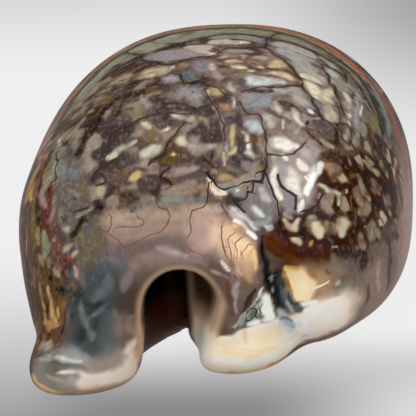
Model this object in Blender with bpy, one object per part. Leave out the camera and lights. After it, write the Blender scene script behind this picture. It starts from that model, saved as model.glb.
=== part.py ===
# A large cowrie shell, grown as one hollow body.
# It rests mouth down: the long axis lies along Y, the rear canal opens towards -Y,
# the outer lip is on the +X side and the humped back rises along +Z.
# The shape functions work in millimetres, about an axis through the hump.
# The finished body is moved so that the middle of its box is at x = 0, y = 0,
# and it is scaled to metres.

import bpy
import numpy as np

MM = 0.001

# ---- main body ----
BODY_MIDDLE_X = 1.42
HALF_WIDTH = 31.27
TOP_HEIGHT = 42.69
WIDEST_HEIGHT = 15.50
REAR_LENGTH = 34.82
FRONT_LENGTH = 44.79
HUMP_TOWARDS_REAR = 4.16
LOWER_DEPTH = 15.99
REAR_FULLNESS = 3.03
FRONT_FULLNESS = 2.48
FLANK_FULLNESS = 3.04
DORSUM_WALL = 3.0
BASE_THICKNESS = 8.5

# ---- rear face, pressed back above the canal ----
REAR_FACE_POINT = (-30.5, 24.0)
REAR_FACE_NORMAL = (0.88, 0.47)
REAR_FACE_CURVE = 0.0035

# ---- lobes: centre, radii, turn about Z in degrees ----
REAR_LEFT_LOBE = ((-17.09, -34.69, 4.08), (8.38, 5.07, 6.34), 20.0)
REAR_RIGHT_LOBE = ((6.32, -28.67, 4.72), (9.05, 7.36, 4.80), 14.0)
MARGIN_SHOULDER = ((16.92, -19.73, 10.50), (9.77, 8.41, 8.15), 20.0)
MARGIN_KNOB = ((17.08, -26.02, 10.57), (6.06, 5.79, 6.34), 0.0)
FRONT_LEFT_LOBE = ((-4.4, 39.5, 5.0), (6.0, 7.6, 5.0), 12.0)
FRONT_RIGHT_LOBE = ((7.8, 39.0, 5.0), (6.4, 7.8, 5.0), -12.0)
REAR_LEFT_LOBE_TILT = -10.0

# ---- limbs: start point, end point, start radius, end radius ----
LEFT_LEG = ((-14.5, -18.5, 21.0), (-16.6, -27.0, 7.6), 9.0, 8.0)
CANAL_COLLAR = ((-2.6, -26.6, 13.6), (0.0, -12.0, 14.0), 8.7, 11.0)
CREASE_UPPER = ((11.4, -35.0, 27.5), (12.8, -35.2, 18.5), 2.8, 3.9)
CREASE_LOWER = ((12.8, -35.2, 18.5), (8.6, -37.0, 10.0), 3.9, 2.6)
SPOUT_UPPER = ((6.4, -26.6, 23.6), (8.3, -30.8, 19.4), 3.4, 4.4)
SPOUT_LOWER = ((8.3, -30.8, 19.4), (5.2, -31.6, 10.5), 4.4, 3.2)
FRONT_SNOUT = ((1.2, 28.0, 12.0), (1.6, 39.0, 8.0), 11.0, 7.5)

# ---- mouth: stations along Y, left edge, right edge, height of the arched roof ----
MOUTH_Y = (-44.0, -32.5, -28.0, -24.0, -20.0, -16.0, -8.0, 6.0, 20.0, 30.0, 37.0, 46.0)
MOUTH_LEFT = (-7.3, -7.6, -8.4, -5.9, -3.5, -2.3, -0.7, 1.3, 1.7, 1.2, 0.2, -1.2)
MOUTH_RIGHT = (1.5, 1.5, 0.2, -2.2, -0.7, 1.0, 3.4, 6.1, 6.8, 6.2, 5.0, 4.8)
MOUTH_ROOF = (12.8, 12.8, 13.4, 14.5, 16.0, 16.0, 16.0, 16.0, 14.0, 10.5, 7.5, 6.5)
LEFT_LEAN = 0.12
RIGHT_LEAN = 0.30
TOOTH_DEPTH = 0.45
TOOTH_REACH = 5.0
TOOTH_PITCH = 2.7
TOOTH_SPAN = (-17.0, 34.0)

# ---- hollow inside ----
CAVITY_REAR_Y = -14.5
CAVITY_REAR_SLANT = 0.35
CAVITY_REAR_X = -2.0
CANAL_Y = -24.0

# ---- underside: hollowed belly and flat sole, each a shallow bowl about BELLY_Y ----
BELLY_Y = 18.0
BELLY_CURVES = (0.0020, 0.0034)
BELLY_RISE = -6.9
SOLE_CURVES = (0.0005, 0.0012)
SOLE_RISE = -3.9

# ---- widths over which neighbouring surfaces flow into each other ----
FACE_BLEND = 6.0
BELLY_BLEND = 8.0
LEG_BLEND = 8.0
LEFT_LOBE_BLEND = 5.0
MARGIN_BLEND = 4.0
COLLAR_BLEND = 5.0
CREASE_BLEND = 1.6
SPOUT_BLEND = 2.4
RIGHT_LOBE_BLEND = 3.0
SNOUT_BLEND = 6.0
SOLE_BLEND = 2.6
CAVITY_BLEND = 6.0
MOUTH_BLEND = 3.0
LIP_BLEND = 1.6
CANAL_LIP_BLEND = 2.4

# ---- first rough cage ----
ARCH_STEPS = 6
LEG_STEPS = 5
CORNER_STEPS = 5
BASE_STEPS = 24
FRONT_CORNER_STEPS = 2
FRONT_LEG_STEPS = 1
FRONT_ARCH_STEPS = 3
OUTER_RINGS = 26
WALL_RINGS = 6
CAVITY_RINGS = 11
OUTER_HEART = (0.0, -1.0, 15.0)
INNER_HEART = (0.5, 6.0, 22.0)
REAR_PIVOT = (-26.5, 6.5)
FRONT_PIVOT = (37.0, 5.0)

# ---- finished skin ----
SKIN_GRAINS = (1.0, 0.8)
SKIN_ROUNDS = 12
TRIANGLES = 9400


def blend_min(a, b, k):
    h = np.clip(0.5 + 0.5 * (b - a) / k, 0.0, 1.0)
    return b + (a - b) * h - k * h * (1.0 - h)


def blend_max(a, b, k):
    return -blend_min(-a, -b, k)


def lobe(x, y, z, shape, tilt=0.0):
    centre, radii, turn = shape
    dx, dy, dz = x - centre[0], y - centre[1], z - centre[2]
    ct, st = np.cos(np.radians(turn)), np.sin(np.radians(turn))
    u = dx * ct + dy * st
    v = -dx * st + dy * ct
    cp, sp = np.cos(np.radians(tilt)), np.sin(np.radians(tilt))
    v, w = v * cp + dz * sp, -v * sp + dz * cp
    a = np.sqrt((u / radii[0]) ** 2 + (v / radii[1]) ** 2 + (w / radii[2]) ** 2)
    b = np.sqrt((u / radii[0] ** 2) ** 2 + (v / radii[1] ** 2) ** 2 + (w / radii[2] ** 2) ** 2)
    return a * (a - 1.0) / np.maximum(b, 1e-6)


def limb(x, y, z, shape):
    start, end, start_radius, end_radius = shape
    ax, ay, az = start
    bx, by, bz = end[0] - ax, end[1] - ay, end[2] - az
    t = ((x - ax) * bx + (y - ay) * by + (z - az) * bz) / (bx * bx + by * by + bz * bz)
    t = np.clip(t, 0.0, 1.0)
    d = np.sqrt((x - ax - t * bx) ** 2 + (y - ay - t * by) ** 2 + (z - az - t * bz) ** 2)
    return d - (start_radius + (end_radius - start_radius) * t)


def egg(x, y, z):
    rise = z - WIDEST_HEIGHT
    upper = TOP_HEIGHT - WIDEST_HEIGHT
    above = rise > 0
    depth = np.where(above, upper, LOWER_DEPTH)
    m = np.where(above, 2.0, FLANK_FULLNESS)
    shifted = y + HUMP_TOWARDS_REAR * np.clip(rise / upper, 0, 1.3)
    n = np.where(shifted < 0, REAR_FULLNESS, FRONT_FULLNESS)
    length = np.where(shifted < 0, REAR_LENGTH, FRONT_LENGTH)
    across = np.abs(x - BODY_MIDDLE_X) / HALF_WIDTH
    along = np.abs(shifted) / length
    plan = (across ** n + along ** n + 1e-12) ** (1.0 / n)
    high = np.abs(rise) / depth
    a = (plan ** m + high ** m + 1e-12) ** (1.0 / m)
    share = (plan / a) ** (m - 1)
    gz = (high / a) ** (m - 1) / depth
    gx = (across / plan) ** (n - 1) / HALF_WIDTH * share
    gy = (along / plan) ** (n - 1) / length * share
    return (a - 1.0) / np.sqrt(gx ** 2 + gy ** 2 + gz ** 2 + 1e-12)


def dome(x, y, z):
    face = (REAR_FACE_POINT[0] - y) * REAR_FACE_NORMAL[0]
    face = face + (z - REAR_FACE_POINT[1]) * REAR_FACE_NORMAL[1]
    face = face - REAR_FACE_CURVE * (x + 1.0) ** 2
    return blend_max(egg(x, y, z), face, FACE_BLEND)


def bowl(x, y, curves, rise):
    return curves[0] * x * x + curves[1] * (y - BELLY_Y) ** 2 + rise


def outside(x, y, z):
    d = blend_max(dome(x, y, z), bowl(x, y, BELLY_CURVES, BELLY_RISE) - z, BELLY_BLEND)
    d = blend_min(d, limb(x, y, z, LEFT_LEG), LEG_BLEND)
    d = blend_min(d, lobe(x, y, z, REAR_LEFT_LOBE, REAR_LEFT_LOBE_TILT), LEFT_LOBE_BLEND)
    d = blend_min(d, lobe(x, y, z, MARGIN_SHOULDER), MARGIN_BLEND)
    d = blend_min(d, lobe(x, y, z, MARGIN_KNOB), MARGIN_BLEND)
    d = blend_min(d, limb(x, y, z, CANAL_COLLAR), COLLAR_BLEND)
    crease = np.minimum(limb(x, y, z, CREASE_UPPER), limb(x, y, z, CREASE_LOWER))
    d = blend_max(d, -crease, CREASE_BLEND)
    spout = blend_min(limb(x, y, z, SPOUT_UPPER), limb(x, y, z, SPOUT_LOWER), 1.5)
    d = blend_min(d, spout, SPOUT_BLEND)
    d = blend_min(d, lobe(x, y, z, REAR_RIGHT_LOBE), RIGHT_LOBE_BLEND)
    d = blend_min(d, limb(x, y, z, FRONT_SNOUT), SNOUT_BLEND)
    front = blend_min(lobe(x, y, z, FRONT_LEFT_LOBE), lobe(x, y, z, FRONT_RIGHT_LOBE), 1.0)
    d = blend_min(d, front, MARGIN_BLEND)
    d = blend_max(d, bowl(x, y, SOLE_CURVES, SOLE_RISE) - z, SOLE_BLEND)
    return np.maximum(d, -z)


def station_value(y, values):
    ys = np.array(MOUTH_Y)
    vs = np.array(values)
    slopes = np.gradient(vs, ys)
    i = np.clip(np.searchsorted(ys, y) - 1, 0, len(ys) - 2)
    h = ys[i + 1] - ys[i]
    t = np.clip((y - ys[i]) / h, 0.0, 1.0)
    rest = (2 * t ** 3 - 3 * t ** 2 + 1) * vs[i] + (t ** 3 - 2 * t ** 2 + t) * h * slopes[i]
    return rest + (3 * t ** 2 - 2 * t ** 3) * vs[i + 1] + (t ** 3 - t ** 2) * h * slopes[i + 1]


def mouth_section(y, z):
    # middle, half width and roof height of the mouth at a station along Y
    near = np.clip((CANAL_Y - y) / 8.0, 0.0, 1.0) * (np.minimum(z, 13.5) - 7.0)
    left = station_value(y, MOUTH_LEFT) + LEFT_LEAN * near
    right = station_value(y, MOUTH_RIGHT) + RIGHT_LEAN * near
    return (left + right) / 2, (right - left) / 2, station_value(y, MOUTH_ROOF)


def teeth(y, z):
    # how far the gaps between the teeth are cut back from the slit
    along = np.clip((y - TOOTH_SPAN[0]) / 5.0, 0.0, 1.0) * np.clip((TOOTH_SPAN[1] - y) / 5.0, 0.0, 1.0)
    low = np.clip(1.0 - (z - 1.0) / TOOTH_REACH, 0.0, 1.0)
    return TOOTH_DEPTH * along * low * (1.0 + np.cos(2.0 * np.pi * y / TOOTH_PITCH))


def cavity(x, y, z):
    hollow = blend_max(dome(x, y, z) + DORSUM_WALL, BASE_THICKNESS - z, CAVITY_BLEND)
    rear = CAVITY_REAR_Y - y - CAVITY_REAR_SLANT * np.abs(x - CAVITY_REAR_X)
    return blend_max(hollow, rear, 5.0)


def opening(x, y, z):
    middle, half, roof = mouth_section(y, z)
    slot = np.sqrt((x - middle) ** 2 + np.maximum(z - roof, 0.0) ** 2) - half - teeth(y, z)
    return blend_min(slot * 0.85, cavity(x, y, z), MOUTH_BLEND)


def shell(x, y, z):
    rear = np.clip((CANAL_Y - y) / 6.0, 0.0, 1.0) * np.clip((z - 3.0) / 8.0, 0.15, 1.0)
    return blend_max(outside(x, y, z), -opening(x, y, z), LIP_BLEND + CANAL_LIP_BLEND * rear)


def slope(field, p, step=0.05):
    out = np.zeros_like(p)
    for axis in range(3):
        ahead = p.copy()
        behind = p.copy()
        ahead[:, axis] += step
        behind[:, axis] -= step
        out[:, axis] = field(*ahead.T) - field(*behind.T)
    return out / (2.0 * step)


def settle(field, p, rounds, reach=1.5):
    for _ in range(rounds):
        g = slope(field, p)
        size = np.maximum((g ** 2).sum(axis=1), 0.05)
        move = -field(*p.T)[:, None] * g / size[:, None]
        length = np.linalg.norm(move, axis=1, keepdims=True)
        p = p + move * np.minimum(1.0, reach / np.maximum(length, 1e-9))
    return p


def last_crossing(start, direction, reach, field):
    # furthest point along each ray that is still inside the field
    steps = np.linspace(0.0, reach, 160)
    p = start[:, None, :] + direction[:, None, :] * steps[None, :, None]
    d = field(p[..., 0], p[..., 1], p[..., 2])
    inside = d < 0.0
    last = len(steps) - 1 - np.argmax(inside[:, ::-1], axis=1)
    last = np.minimum(last, len(steps) - 2)
    rows = np.arange(len(start))
    here, there = d[rows, last], d[rows, last + 1]
    t = np.clip(here / np.where(np.abs(here - there) < 1e-9, 1.0, here - there), 0.0, 1.0)
    return start + direction * (steps[last] + t * (steps[1] - steps[0]))[:, None]


def wall_point(side, y, z, angle):
    # a point on the mouth wall: upright below the roof line, arched above it
    middle, half, roof = mouth_section(y, z)
    up = angle > 0.0
    x = middle + side * half * np.cos(angle)
    return np.stack([x, y, np.where(up, roof + half * np.sin(angle), z)], axis=-1)


def lip_rows(side):
    # the lip as seen from inside the wall, with the matching rim of the cavity
    lip = []
    rim = []

    def add(inner, outward, angle, rim_yz, rim_angle):
        t = np.linspace(0.0, 34.0, 341)
        y = inner[0] + outward[0] * t
        z = inner[1] + outward[1] * t
        p = wall_point(side, y, z, np.full_like(t, angle))
        d = outside(*p.T)
        inside = np.where(d < 0.0)[0]
        lip.append(p[inside[-1]] if len(inside) else p[0])
        ry, rz = np.array([rim_yz[0]]), np.array([rim_yz[1]])
        rim.append(wall_point(side, ry, rz, np.array([rim_angle]))[0])

    for k in range(ARCH_STEPS):
        angle = np.pi / 2 * (1.0 - k / ARCH_STEPS)
        add((CANAL_Y, 13.0), (-1.0, 0.0), angle, (CAVITY_REAR_Y, 16.0), angle)
    for k in range(LEG_STEPS):
        f = k / LEG_STEPS
        add((CANAL_Y, 12.8 - 6.3 * f), (-1.0, 0.0), 0.0, (CAVITY_REAR_Y, 16.0 - 5.0 * f), 0.0)
    for k in range(CORNER_STEPS):
        turn = np.pi / 2 * k / CORNER_STEPS
        f = k / CORNER_STEPS
        corner = (CAVITY_REAR_Y + 1.5 * f, 11.0 - 2.0 * f)
        add(REAR_PIVOT, (-np.cos(turn), -np.sin(turn)), 0.0, corner, 0.0)
    for k in range(BASE_STEPS):
        f = k / BASE_STEPS
        inner = (REAR_PIVOT[0] + 63.5 * f, REAR_PIVOT[1] - 1.5 * f)
        add(inner, (0.0, -1.0), 0.0, (-13.0 + 43.0 * f, 9.0), 0.0)
    for k in range(FRONT_CORNER_STEPS):
        turn = np.pi / 2 * k / FRONT_CORNER_STEPS
        f = k / FRONT_CORNER_STEPS
        add(FRONT_PIVOT, (np.sin(turn), -np.cos(turn)), 0.0, (30.0 + f, 9.0 + 0.5 * f), 0.0)
    for k in range(FRONT_LEG_STEPS):
        f = k / FRONT_LEG_STEPS
        add((FRONT_PIVOT[0], FRONT_PIVOT[1] + f), (1.0, 0.0), 0.0, (31.0, 9.5 + 0.5 * f), 0.0)
    for k in range(FRONT_ARCH_STEPS + 1):
        angle = np.pi / 2 * k / FRONT_ARCH_STEPS
        add((33.0, 6.0), (1.0, 0.0), max(angle, 1e-3), (31.0, 10.0), max(angle, 1e-3))
    return np.array(lip), np.array(rim)


def bend_path(start, middle, end, s):
    # directions swept from start over middle to end, one row per step
    a = (1.0 - s)[:, None, None] ** 2 * start[None]
    b = 2.0 * (s * (1.0 - s))[:, None, None] * middle[None]
    c = s[:, None, None] ** 2 * end[None]
    d = a + b + c
    return d / np.linalg.norm(d, axis=2, keepdims=True)


def even_out(paths, count, ease):
    # paths: steps x meridians x 3, resampled along each meridian
    steps, meridians = paths.shape[:2]
    out = np.zeros((count + 1, meridians, 3))
    f = np.arange(count + 1) / count
    f = f * (1.0 + ease) - ease * f ** 2
    for j in range(meridians):
        line = paths[:, j]
        arc = np.concatenate([[0.0], np.cumsum(np.linalg.norm(np.diff(line, axis=0), axis=1))])
        for axis in range(3):
            out[:, j, axis] = np.interp(f * arc[-1], arc, line[:, axis])
    return out


def build_grid():
    right_lip, right_rim = lip_rows(1.0)
    left_lip, left_rim = lip_rows(-1.0)
    half = len(right_lip) - 1
    lip = np.concatenate([right_lip, left_lip[half - 1:0:-1]])
    rim = np.concatenate([right_rim, left_rim[half - 1:0:-1]])
    meridians = len(lip)

    share = np.arange(half + 1) / half
    angle = np.concatenate([-90 + 180 * share, 270 - 180 * share[half - 1:0:-1]])
    angle = np.radians(angle)
    around = np.stack([np.cos(angle), np.sin(angle), np.zeros(meridians)], axis=1)
    zenith = np.tile(np.array([0.0, 0.0, 1.0]), (meridians, 1))

    # outer skin, from the crown over the margin to the lip
    heart = np.array(OUTER_HEART)
    end = lip - heart
    end = end / np.linalg.norm(end, axis=1, keepdims=True)
    middle = around.copy()
    middle[:, 2] = np.clip(end[:, 2] + 0.5, -0.15, 0.7)
    middle = middle / np.linalg.norm(middle, axis=1, keepdims=True)
    s = np.linspace(0.0, 1.0, 81)
    directions = bend_path(zenith, middle, end, s)
    flat = directions.reshape(-1, 3)
    skin = last_crossing(np.tile(heart, (len(flat), 1)), flat, 62.0, outside)
    skin = skin.reshape(directions.shape)
    skin[-1] = lip
    skin = even_out(skin, OUTER_RINGS, 0.35)

    # mouth wall, from the lip to the rim of the cavity
    f = (np.arange(1, WALL_RINGS + 1) / WALL_RINGS)[:, None, None]
    wall = lip[None] * (1.0 - f) + rim[None] * f
    wall = settle(opening, wall.reshape(-1, 3), 6).reshape(wall.shape)

    # cavity, from its rim up to the inner crown
    core = np.array(INNER_HEART)
    low = wall[-1] - core
    low = low / np.linalg.norm(low, axis=1, keepdims=True)
    directions = bend_path(low, around, zenith, s)
    flat = directions.reshape(-1, 3)
    inner = last_crossing(np.tile(core, (len(flat), 1)), flat, 50.0, cavity)
    inner = inner.reshape(directions.shape)
    inner[0] = wall[-1]
    inner = even_out(inner, CAVITY_RINGS, 0.0)

    return np.concatenate([skin, wall, inner[1:]], axis=0)


def cage_faces(rings, meridians):
    # faces of a grid whose first and last ring are single points
    faces = []
    tip = 1 + (rings - 2) * meridians
    for j in range(meridians):
        k = (j + 1) % meridians
        faces.append((0, 1 + j, 1 + k))
        for i in range(rings - 3):
            a = 1 + i * meridians
            b = a + meridians
            faces.append((a + j, b + j, b + k, a + k))
        a = 1 + (rings - 3) * meridians
        faces.append((a + j, tip, a + k))
    return faces


def apply_modifier(body, kind, settings):
    modifier = body.modifiers.new(kind.title(), kind)
    for name, value in settings.items():
        setattr(modifier, name, value)
    bpy.context.view_layer.objects.active = body
    bpy.ops.object.modifier_apply(modifier=modifier.name)


def read_points(mesh):
    flat = np.zeros(len(mesh.vertices) * 3)
    mesh.vertices.foreach_get("co", flat)
    return flat.reshape(-1, 3)


def smooth_onto(mesh, field, rounds):
    # slide the vertices towards the middle of their neighbours, then back onto the field
    p = read_points(mesh)
    edges = np.zeros(len(mesh.edges) * 2, dtype=np.int32)
    mesh.edges.foreach_get("vertices", edges)
    one, two = edges.reshape(-1, 2).T
    count = np.bincount(one, minlength=len(p)) + np.bincount(two, minlength=len(p))
    p = settle(field, p, 4)
    for _ in range(rounds):
        total = np.zeros_like(p)
        for axis in range(3):
            total[:, axis] = np.bincount(one, p[two, axis], len(p)) + np.bincount(two, p[one, axis], len(p))
        g = slope(field, p)
        g = g / np.maximum(np.linalg.norm(g, axis=1, keepdims=True), 1e-6)
        pull = total / count[:, None] - p
        pull = pull - (pull * g).sum(axis=1, keepdims=True) * g
        p = settle(field, p + 0.5 * pull, 1)
    p = settle(field, p, 2)
    mesh.vertices.foreach_set("co", p.ravel())


def add_body(name, colour, roughness):
    grid = build_grid()
    rings, meridians = grid.shape[:2]
    points = np.concatenate([grid[:1, 0], grid[1:-1].reshape(-1, 3), grid[-1:, 0]])
    mesh = bpy.data.meshes.new(name)
    mesh.from_pydata(points.tolist(), [], cage_faces(rings, meridians))
    body = bpy.data.objects.new(name, mesh)
    bpy.context.collection.objects.link(body)

    for grain in SKIN_GRAINS:
        apply_modifier(body, "REMESH", {"mode": "VOXEL", "voxel_size": grain, "adaptivity": 0.0})
        smooth_onto(body.data, shell, SKIN_ROUNDS)
    ratio = TRIANGLES / (2.0 * len(body.data.polygons))
    apply_modifier(body, "DECIMATE", {"ratio": ratio, "use_collapse_triangulate": True})

    mesh = body.data
    p = read_points(mesh)
    p[:, 2] = np.where(p[:, 2] < 0.04, 0.0, p[:, 2])
    middle = (p.min(axis=0) + p.max(axis=0)) / 2.0
    p = (p - np.array([middle[0], middle[1], 0.0])) * MM
    mesh.vertices.foreach_set("co", p.ravel())
    mesh.update()
    mesh.shade_smooth()

    material = bpy.data.materials.new(name)
    material.use_nodes = True
    surface = material.node_tree.nodes["Principled BSDF"]
    surface.inputs["Base Color"].default_value = colour
    surface.inputs["Roughness"].default_value = roughness
    surface.inputs["Metallic"].default_value = 0.0
    mesh.materials.append(material)
    return body


for leftover in list(bpy.data.objects):
    bpy.data.objects.remove(leftover, do_unlink=True)

add_body("shell", (0.43, 0.33, 0.26, 1.0), 0.25)
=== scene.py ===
# The finished look of a large cowrie shell: glazed skin, markings, floor, light and camera.

import math

import bpy
import numpy as np
from mathutils import Matrix, Vector


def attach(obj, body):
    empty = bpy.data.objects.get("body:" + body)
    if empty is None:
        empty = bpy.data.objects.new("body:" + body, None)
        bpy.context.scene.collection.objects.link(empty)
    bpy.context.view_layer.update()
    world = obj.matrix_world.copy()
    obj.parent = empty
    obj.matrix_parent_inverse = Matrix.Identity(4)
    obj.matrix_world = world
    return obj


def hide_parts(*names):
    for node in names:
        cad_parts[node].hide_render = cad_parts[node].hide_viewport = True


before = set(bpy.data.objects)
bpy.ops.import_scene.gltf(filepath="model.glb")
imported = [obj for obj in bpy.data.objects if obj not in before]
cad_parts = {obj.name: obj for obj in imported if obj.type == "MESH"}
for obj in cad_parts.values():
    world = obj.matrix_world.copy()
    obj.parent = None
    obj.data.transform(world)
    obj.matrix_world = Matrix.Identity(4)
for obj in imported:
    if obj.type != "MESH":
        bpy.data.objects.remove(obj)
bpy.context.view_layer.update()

MM = 0.001
# The shape functions and the markings are placed in millimetres about an axis
# through the hump, which lies this far from the middle of the shell's box.
HUMP_AXIS = (1.42, 3.478, 0.0)

# ---- skin: size of its faces, rounds of sliding, and which faces are cut smaller, in millimetres ----
SKIN_GRAIN = 1.48
SKIN_ROUNDS = 5
FINE_ROUNDS = 2
SETTLE_REACH = 1.5
SLOPE_STEP = 0.05
REAR_AND_UP = (0.12, -0.87, 0.48)
MARKED_CUTS = 4
MARKED_FACING = 0.24
TURNING_FACING = -0.25
SKIN_DEPTH = 1.6
MARKED_END_Y = 13.0
MARKED_FOOT_Z = 1.0
RIM_END_Y = 18.0
LIP_REACH = 2.6
LIP_DEPTH = 7.0
LIP_TOP_Z = 16.0
SPLIT_AREA = 0.8

# ---- airbrush: how its strokes wander, meet the skin, swell, taper and fade, in millimetres ----
LOOSE_PUSHES = ((2.6, 0.55), (1.0, 0.2))
TIGHT_PUSHES = ((2.4, 0.4), (1.0, 0.24))
MEET_STEPS = 20
MEET_SHARE = 0.7
MEET_REACH = 6.0
FRONT_START_Y = -52.0
CROWN_START_Z = 47.0
THIN_LINE = 0.46
BROAD = 2.8
END_TAPER = 0.3
SPARE = 0.6
MOST_SWELL = 1.2
HAIR_REACH = 0.7
HAIR_FADE = 0.2
FAR_LEFT = 9.0
COARSE_SHARE = 0.62
FINE_SIZE = 0.45

# ---- depth at which the inner walls begin, and the ellipse of the hump's far rim ----
INNER_DEPTH = 0.9
INNER_FADE = 1.4
RIM_MIDDLE = (4.3, -6.0)
RIM_REACH = (27.9, 21.7)

# ---- colours, as seen on a screen ----
BROWN_BACK = (104, 74, 56)
LILAC_BROWN = (88, 74, 74)
DUSK = (66, 54, 56)
DARK_BROWN = (64, 37, 14)
NET_BROWN = (60, 26, 6)
RUST = (98, 42, 3)
# dark branching lines, a painted reflection of tree branches, and their soft glow
BRANCH_REFLECTION_DARK = (41, 25, 23)
BRANCH_REFLECTION_GLOW = (88, 58, 44)
BLOT_GLOW = (126, 96, 70)
BLOT_EDGE = (78, 48, 34)
CELL_RING = (44, 16, 5)
CELL_GLOW = (132, 72, 14)
FAWN = (126, 92, 72)

# ---- the wet glaze deepens the colours about a middle level ----
DEEPEN_ABOUT = 0.165
DEEPEN = 0.42
RICHER = 1.14
LEAST_COLOUR = 0.002
MOST_COLOUR = 0.93
COLOUR_SPAN = (0.001, 0.94)

# ---- painted sheen of reflected light, dull brown band and smooth rear face: centre, radii, softness of the edge ----
SHEEN = ((15.0, -27.0, 31.0), (4.6, 8.0, 5.0), 0.3)
DULL_BAND = ((18.5, -31.0, 20.0), (9.5, 6.0, 6.5), 0.5)
SMOOTH_FACE = ((4.0, -33.0, 14.0), (19.0, 14.0, 12.0), 0.3)

# ---- grids of the markings that the material makes, in cells for each millimetre ----
GRAIN_GRID = (0.9, 0.9, 0.55)
NET_GRID = (0.36, 0.29, 0.25)
SPOT_GRID = (0.34, 0.42, 0.46)
# the last grid is for the dark branching lines, a painted reflection of tree branches
BRANCH_REFLECTION_GRID = (0.055, 0.06, 0.085)
COAT = 0.28

# ---- floor and world ----
FLOOR_SIZE = 6.0
FLOOR_SEEN = 0.94
SKY = (0.86, 0.88, 0.9, 1.0)
SKY_STRENGTH = 0.24

# ---- camera, and lamps: place, aim, size, power, roll in degrees ----
CAMERA_AIM = (-1.92, -5.76, 14.93)
CAMERA_TURN = 7.472
CAMERA_RISE = 23.905
CAMERA_ROLL = -4.456
CAMERA_REACH = 350.0
CAMERA_LENS = 185.88
SOFTBOXES = {
    "top softbox": ((-0.05, -0.05, 0.75), (0.0, 0.0, 0.03), (0.9, 0.9), 3.0, 0.0),
    "left softbox": ((-0.62, -0.45, 0.32), (0.0, 0.0, 0.02), (0.5, 0.5), 1.2, 0.0),
    "front softbox": ((0.25, -0.8, 0.30), (0.0, 0.0, 0.02), (0.6, 0.5), 2.2, 0.0),
    "shoulder strip": ((0.157, -0.295, 0.40), (0.005, -0.02, 0.03), (0.15, 0.016), 0.5, 28.0),
}

# ---- main body ----
BODY_MIDDLE_X = 1.42
HALF_WIDTH = 31.27
TOP_HEIGHT = 42.69
WIDEST_HEIGHT = 15.50
REAR_LENGTH = 34.82
FRONT_LENGTH = 44.79
HUMP_TOWARDS_REAR = 4.16
HUMP_MOST = 1.3
LOWER_DEPTH = 15.99
REAR_FULLNESS = 3.03
FRONT_FULLNESS = 2.48
FLANK_FULLNESS = 3.04
DOME_FULLNESS = 2.0
DORSUM_WALL = 3.0
BASE_THICKNESS = 8.5

# ---- rear face, pressed back above the canal ----
REAR_FACE_POINT = (-30.5, 24.0)
REAR_FACE_NORMAL = (0.88, 0.47)
REAR_FACE_CURVE = 0.0035
REAR_FACE_MIDDLE_X = -1.0

# ---- lobes: centre, radii, turn about Z in degrees ----
REAR_LEFT_LOBE = ((-17.09, -34.69, 4.08), (8.38, 5.07, 6.34), 20.0)
REAR_RIGHT_LOBE = ((6.32, -28.67, 4.72), (9.05, 7.36, 4.80), 14.0)
MARGIN_SHOULDER = ((16.92, -19.73, 10.50), (9.77, 8.41, 8.15), 20.0)
MARGIN_KNOB = ((17.08, -26.02, 10.57), (6.06, 5.79, 6.34), 0.0)
FRONT_LEFT_LOBE = ((-4.4, 39.5, 5.0), (6.0, 7.6, 5.0), 12.0)
FRONT_RIGHT_LOBE = ((7.8, 39.0, 5.0), (6.4, 7.8, 5.0), -12.0)
REAR_LEFT_LOBE_TILT = -10.0

# ---- limbs: start point, end point, start radius, end radius ----
LEFT_LEG = ((-14.5, -18.5, 21.0), (-16.6, -27.0, 7.6), 9.0, 8.0)
CANAL_COLLAR = ((-2.6, -26.6, 13.6), (0.0, -12.0, 14.0), 8.7, 11.0)
CREASE_UPPER = ((11.4, -35.0, 27.5), (12.8, -35.2, 18.5), 2.8, 3.9)
CREASE_LOWER = ((12.8, -35.2, 18.5), (8.6, -37.0, 10.0), 3.9, 2.6)
SPOUT_UPPER = ((6.4, -26.6, 23.6), (8.3, -30.8, 19.4), 3.4, 4.4)
SPOUT_LOWER = ((8.3, -30.8, 19.4), (5.2, -31.6, 10.5), 4.4, 3.2)
FRONT_SNOUT = ((1.2, 28.0, 12.0), (1.6, 39.0, 8.0), 11.0, 7.5)

# ---- mouth: stations along Y, left edge, right edge, height of the arched roof ----
MOUTH_Y = (-44.0, -32.5, -28.0, -24.0, -20.0, -16.0, -8.0, 6.0, 20.0, 30.0, 37.0, 46.0)
MOUTH_LEFT = (-7.3, -7.6, -8.4, -5.9, -3.5, -2.3, -0.7, 1.3, 1.7, 1.2, 0.2, -1.2)
MOUTH_RIGHT = (1.5, 1.5, 0.2, -2.2, -0.7, 1.0, 3.4, 6.1, 6.8, 6.2, 5.0, 4.8)
MOUTH_ROOF = (12.8, 12.8, 13.4, 14.5, 16.0, 16.0, 16.0, 16.0, 14.0, 10.5, 7.5, 6.5)
LEFT_LEAN = 0.12
RIGHT_LEAN = 0.30
LEAN_RUN = 8.0
LEAN_ABOUT_Z = 7.0
LEAN_TOP_Z = 13.5
SLOT_STEEPNESS = 0.85
TOOTH_DEPTH = 0.45
TOOTH_REACH = 5.0
TOOTH_PITCH = 2.7
TOOTH_SPAN = (-17.0, 34.0)
TOOTH_FADE = 5.0
TOOTH_FOOT_Z = 1.0

# ---- hollow inside ----
CAVITY_REAR_Y = -14.5
CAVITY_REAR_SLANT = 0.35
CAVITY_REAR_X = -2.0
CANAL_Y = -24.0

# ---- underside: hollowed belly and flat sole, each a shallow bowl about BELLY_Y ----
BELLY_Y = 18.0
BELLY_CURVES = (0.0020, 0.0034)
BELLY_RISE = -6.9
SOLE_CURVES = (0.0005, 0.0012)
SOLE_RISE = -3.9

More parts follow.
